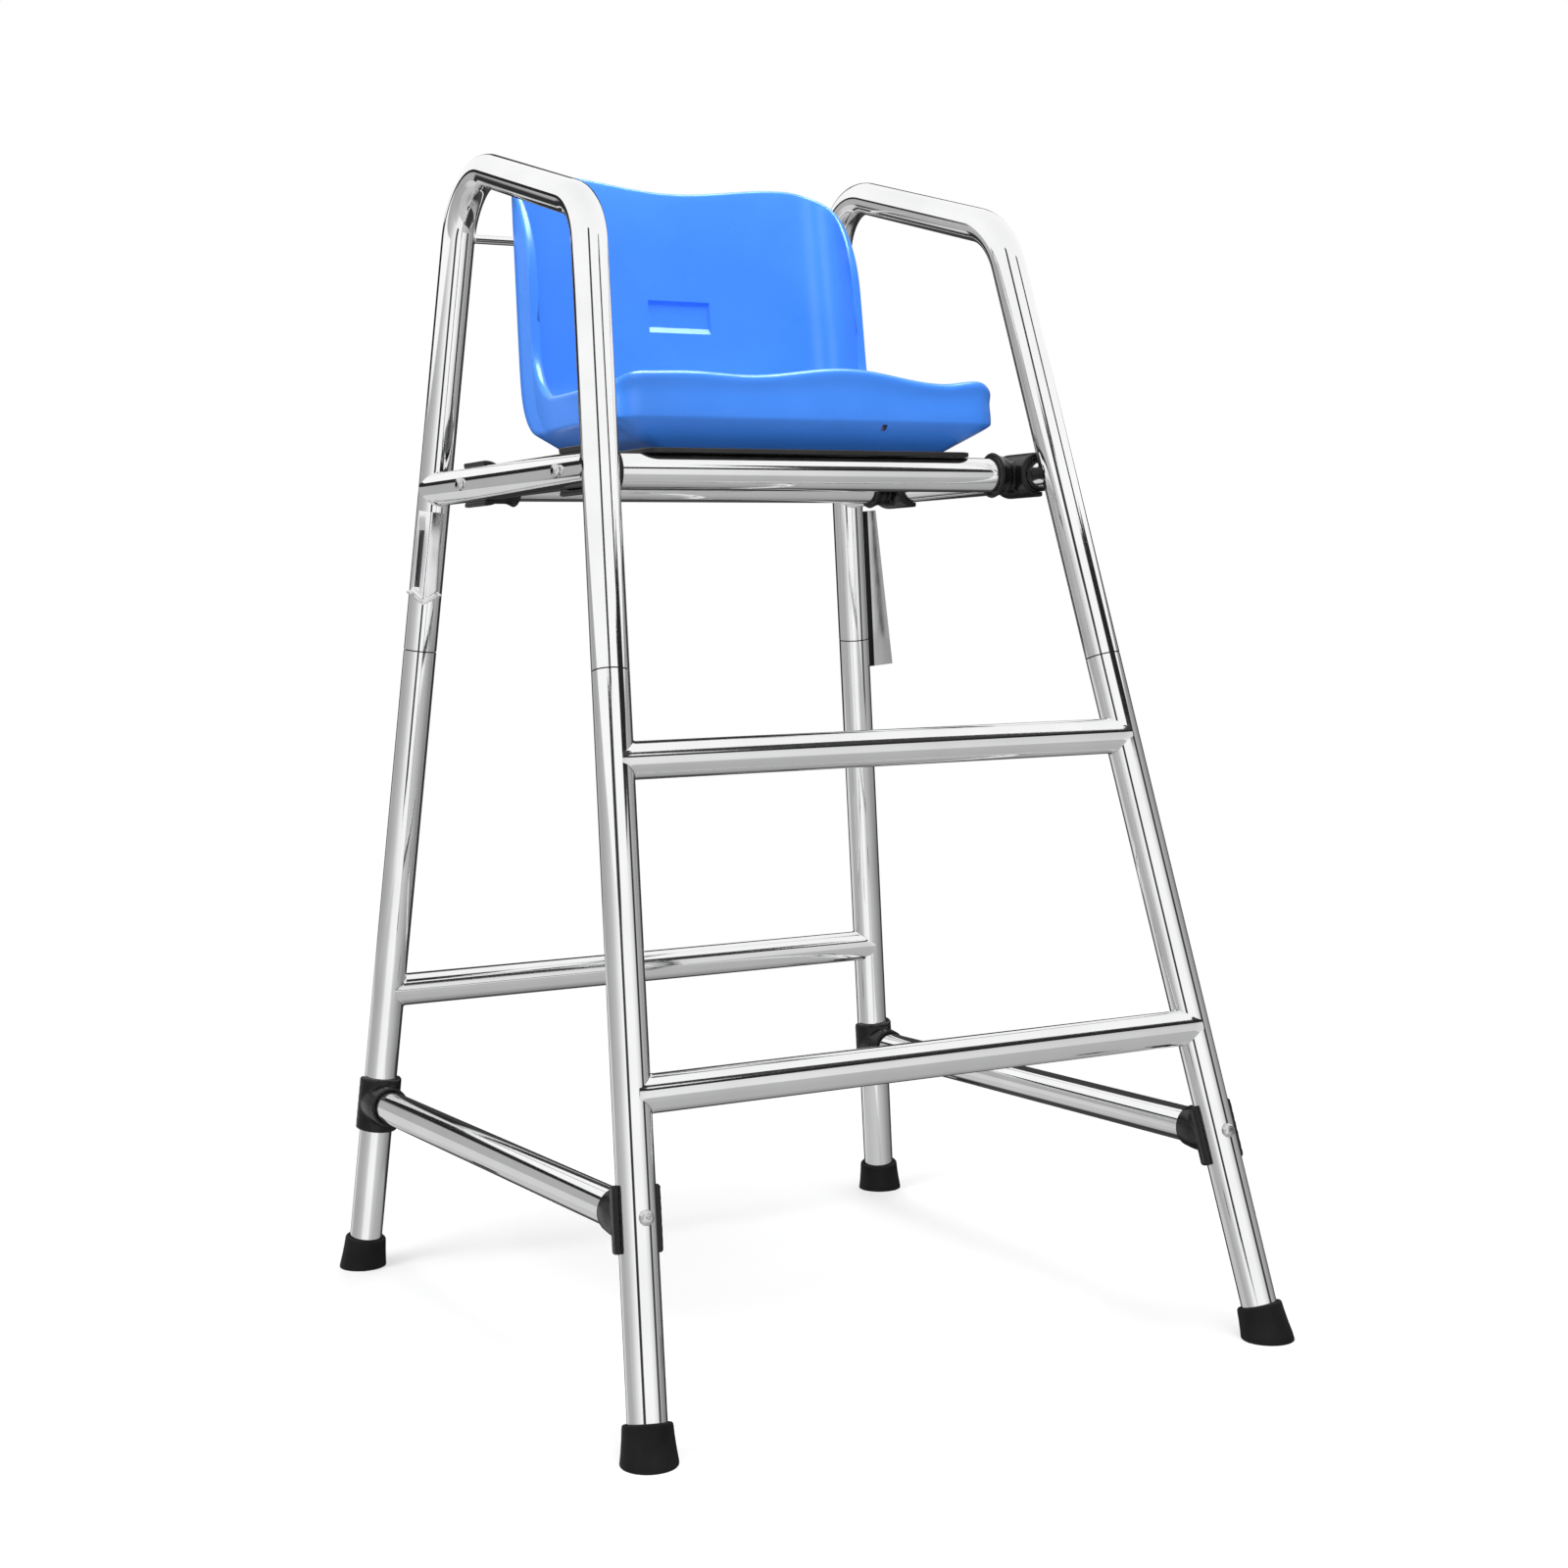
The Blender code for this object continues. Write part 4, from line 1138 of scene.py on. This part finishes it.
def tones_round(nodes, links, stops):
    """Socket with greys that change round the object's middle, by degrees from the camera's side."""
    coords = nodes.new("ShaderNodeTexCoord")
    around = nodes.new("ShaderNodeTexGradient")
    around.gradient_type = "RADIAL"
    tones = nodes.new("ShaderNodeValToRGB")
    set_stops(tones.color_ramp, [(facing + turn / 360.0, level) for turn, level in stops])
    links.new(coords.outputs["Object"], around.inputs["Vector"])
    links.new(around.outputs["Fac"], tones.inputs["Fac"])
    return tones.outputs["Color"]


def stage_card(name, bm):
    """Card that shows in reflections only; returns it with its nodes, links and glow."""
    paper = new_finish(name, 0.0)
    paper.cycles.emission_sampling = "NONE"
    nodes, links = paper.node_tree.nodes, paper.node_tree.links
    nodes.remove(nodes["Principled BSDF"])
    glow = nodes.new("ShaderNodeEmission")
    links.new(glow.outputs["Emission"], nodes["Material Output"].inputs["Surface"])
    card = stage_prop(name, bm, paper)
    card.visible_camera = False
    card.visible_diffuse = False
    card.visible_transmission = False
    card.visible_shadow = False
    return card, nodes, links, glow


bm = bmesh.new()
bmesh.ops.create_cone(bm, cap_ends=False, segments=128, radius1=wall_r, radius2=wall_r, depth=wall_h)
card, nodes, links, glow = stage_card("card_round", bm)
card.location = (0.0, wall_back, 0.5 * (wall_low + wall_top))
climb = spread_of(nodes, links, height_in(nodes, links, "Object"), -wall_h / 2.0, wall_h / 2.0)
shown = tones_round(nodes, links, low_stops)
for stops, from_z in ((wall_stops, 0.0), (rim_stops, rim_low)):
    share = (from_z - wall_low) / wall_h
    above = nodes.new("ShaderNodeValToRGB")
    step = ((0.0, 0.0), (share - zone_blur, 0.0), (share + zone_blur, 1.0), (1.0, 1.0))
    set_stops(above.color_ramp, step)
    both = nodes.new("ShaderNodeMix")
    both.data_type = "RGBA"
    links.new(climb.outputs["Result"], above.inputs["Fac"])
    links.new(above.outputs["Color"], both.inputs["Factor"])
    links.new(shown, both.inputs["A"])
    links.new(tones_round(nodes, links, stops), both.inputs["B"])
    shown = both.outputs["Result"]
links.new(shown, glow.inputs["Color"])

bm = bmesh.new()
bmesh.ops.create_circle(bm, cap_ends=True, segments=96, radius=wall_r)
card, nodes, links, glow = stage_card("card_floor", bm)
card.location = (0.0, wall_back, wall_low)
shade = spread_of(nodes, links, far_from_middle(nodes, links), shade_from, shade_to, shade_least)
links.new(tones_round(nodes, links, floor_stops), glow.inputs["Color"])
links.new(shade.outputs["Result"], glow.inputs["Strength"])

for name, turn, width, near, height in strip_rows:
    middle = radians(turn + camera_side)
    half = near * tan(radians(width / 2.0))
    out = Vector((cos(middle), sin(middle), 0.0))
    across = Vector((-out.y, out.x, 0.0))
    bm = bmesh.new()
    foot = [bm.verts.new(out * near + across * side * half) for side in (-1.0, 1.0)]
    bm.edges.new(foot)
    draw_on(bm, foot, Vector((0.0, 0.0, height)))
    glow = stage_card(name, bm)[-1]
    glow.inputs["Color"].default_value = grey(strip_grey)


# Lamps. Soft discs at the left, in front, above and behind, which no reflection shows,
# and one more that puts a glint on the seat alone.
lamp_aim = Vector((0.0, 0.0, 0.8))
glint_colour = (0.78, 1.0, 1.0)
lamp_rows = (
    ("left", (-3.4, -0.6, 2.2), 2.4, 118.0, False),
    ("front", (-0.6, -3.4, 2.0), 2.2, 56.0, False),
    ("top", (0.2, -0.4, 3.4), 2.2, 84.0, False),
    ("rear", (1.6, 3.2, 2.2), 2.4, 52.0, False),
    ("glint", (0.3, -0.6, 3.4), 2.0, 270.0, True),
)

seat_only = bpy.data.collections.new("seat only")
seat_only.objects.link(seat)
for name, spot, size, power, glint in lamp_rows:
    lamp = bpy.data.lights.new(name, "AREA")
    lamp.shape = "DISK"
    lamp.size = size
    lamp.energy = power
    lamp_object = bpy.data.objects.new(name, lamp)
    lamp_object.location = spot
    lamp_object.rotation_euler = (lamp_aim - Vector(spot)).to_track_quat("-Z", "Y").to_euler()
    lamp_object.visible_glossy = glint
    lamp_object.visible_diffuse = not glint
    if glint:
        lamp.color = glint_colour
        lamp_object.light_linking.receiver_collection = seat_only
    bpy.context.scene.collection.objects.link(lamp_object)


# Camera. It stands at the front left, a little over half the chair's height, and looks
# slightly down, with the photograph's angle of view.
yaw, pitch, roll = -0.4992, -0.0739, -0.0182
camera_spot = Vector((-1.2946, -2.3909, 0.7876))
sensor_width, lens = 36.0, 56.07

right = Vector((cos(yaw), sin(yaw), 0.0))
ahead = Vector((-sin(yaw) * cos(pitch), cos(yaw) * cos(pitch), sin(pitch)))
over = right.cross(ahead)
camera = bpy.data.objects.new("camera", bpy.data.cameras.new("camera"))
bpy.context.scene.collection.objects.link(camera)
stand = Matrix((cos(roll) * right + sin(roll) * over, cos(roll) * over - sin(roll) * right, -ahead))
stand = stand.transposed().to_4x4()
stand.translation = camera_spot
camera.matrix_world = stand
camera.data.sensor_width = sensor_width
camera.data.lens = lens
bpy.context.scene.camera = camera
bpy.context.scene.view_settings.view_transform = "Standard"
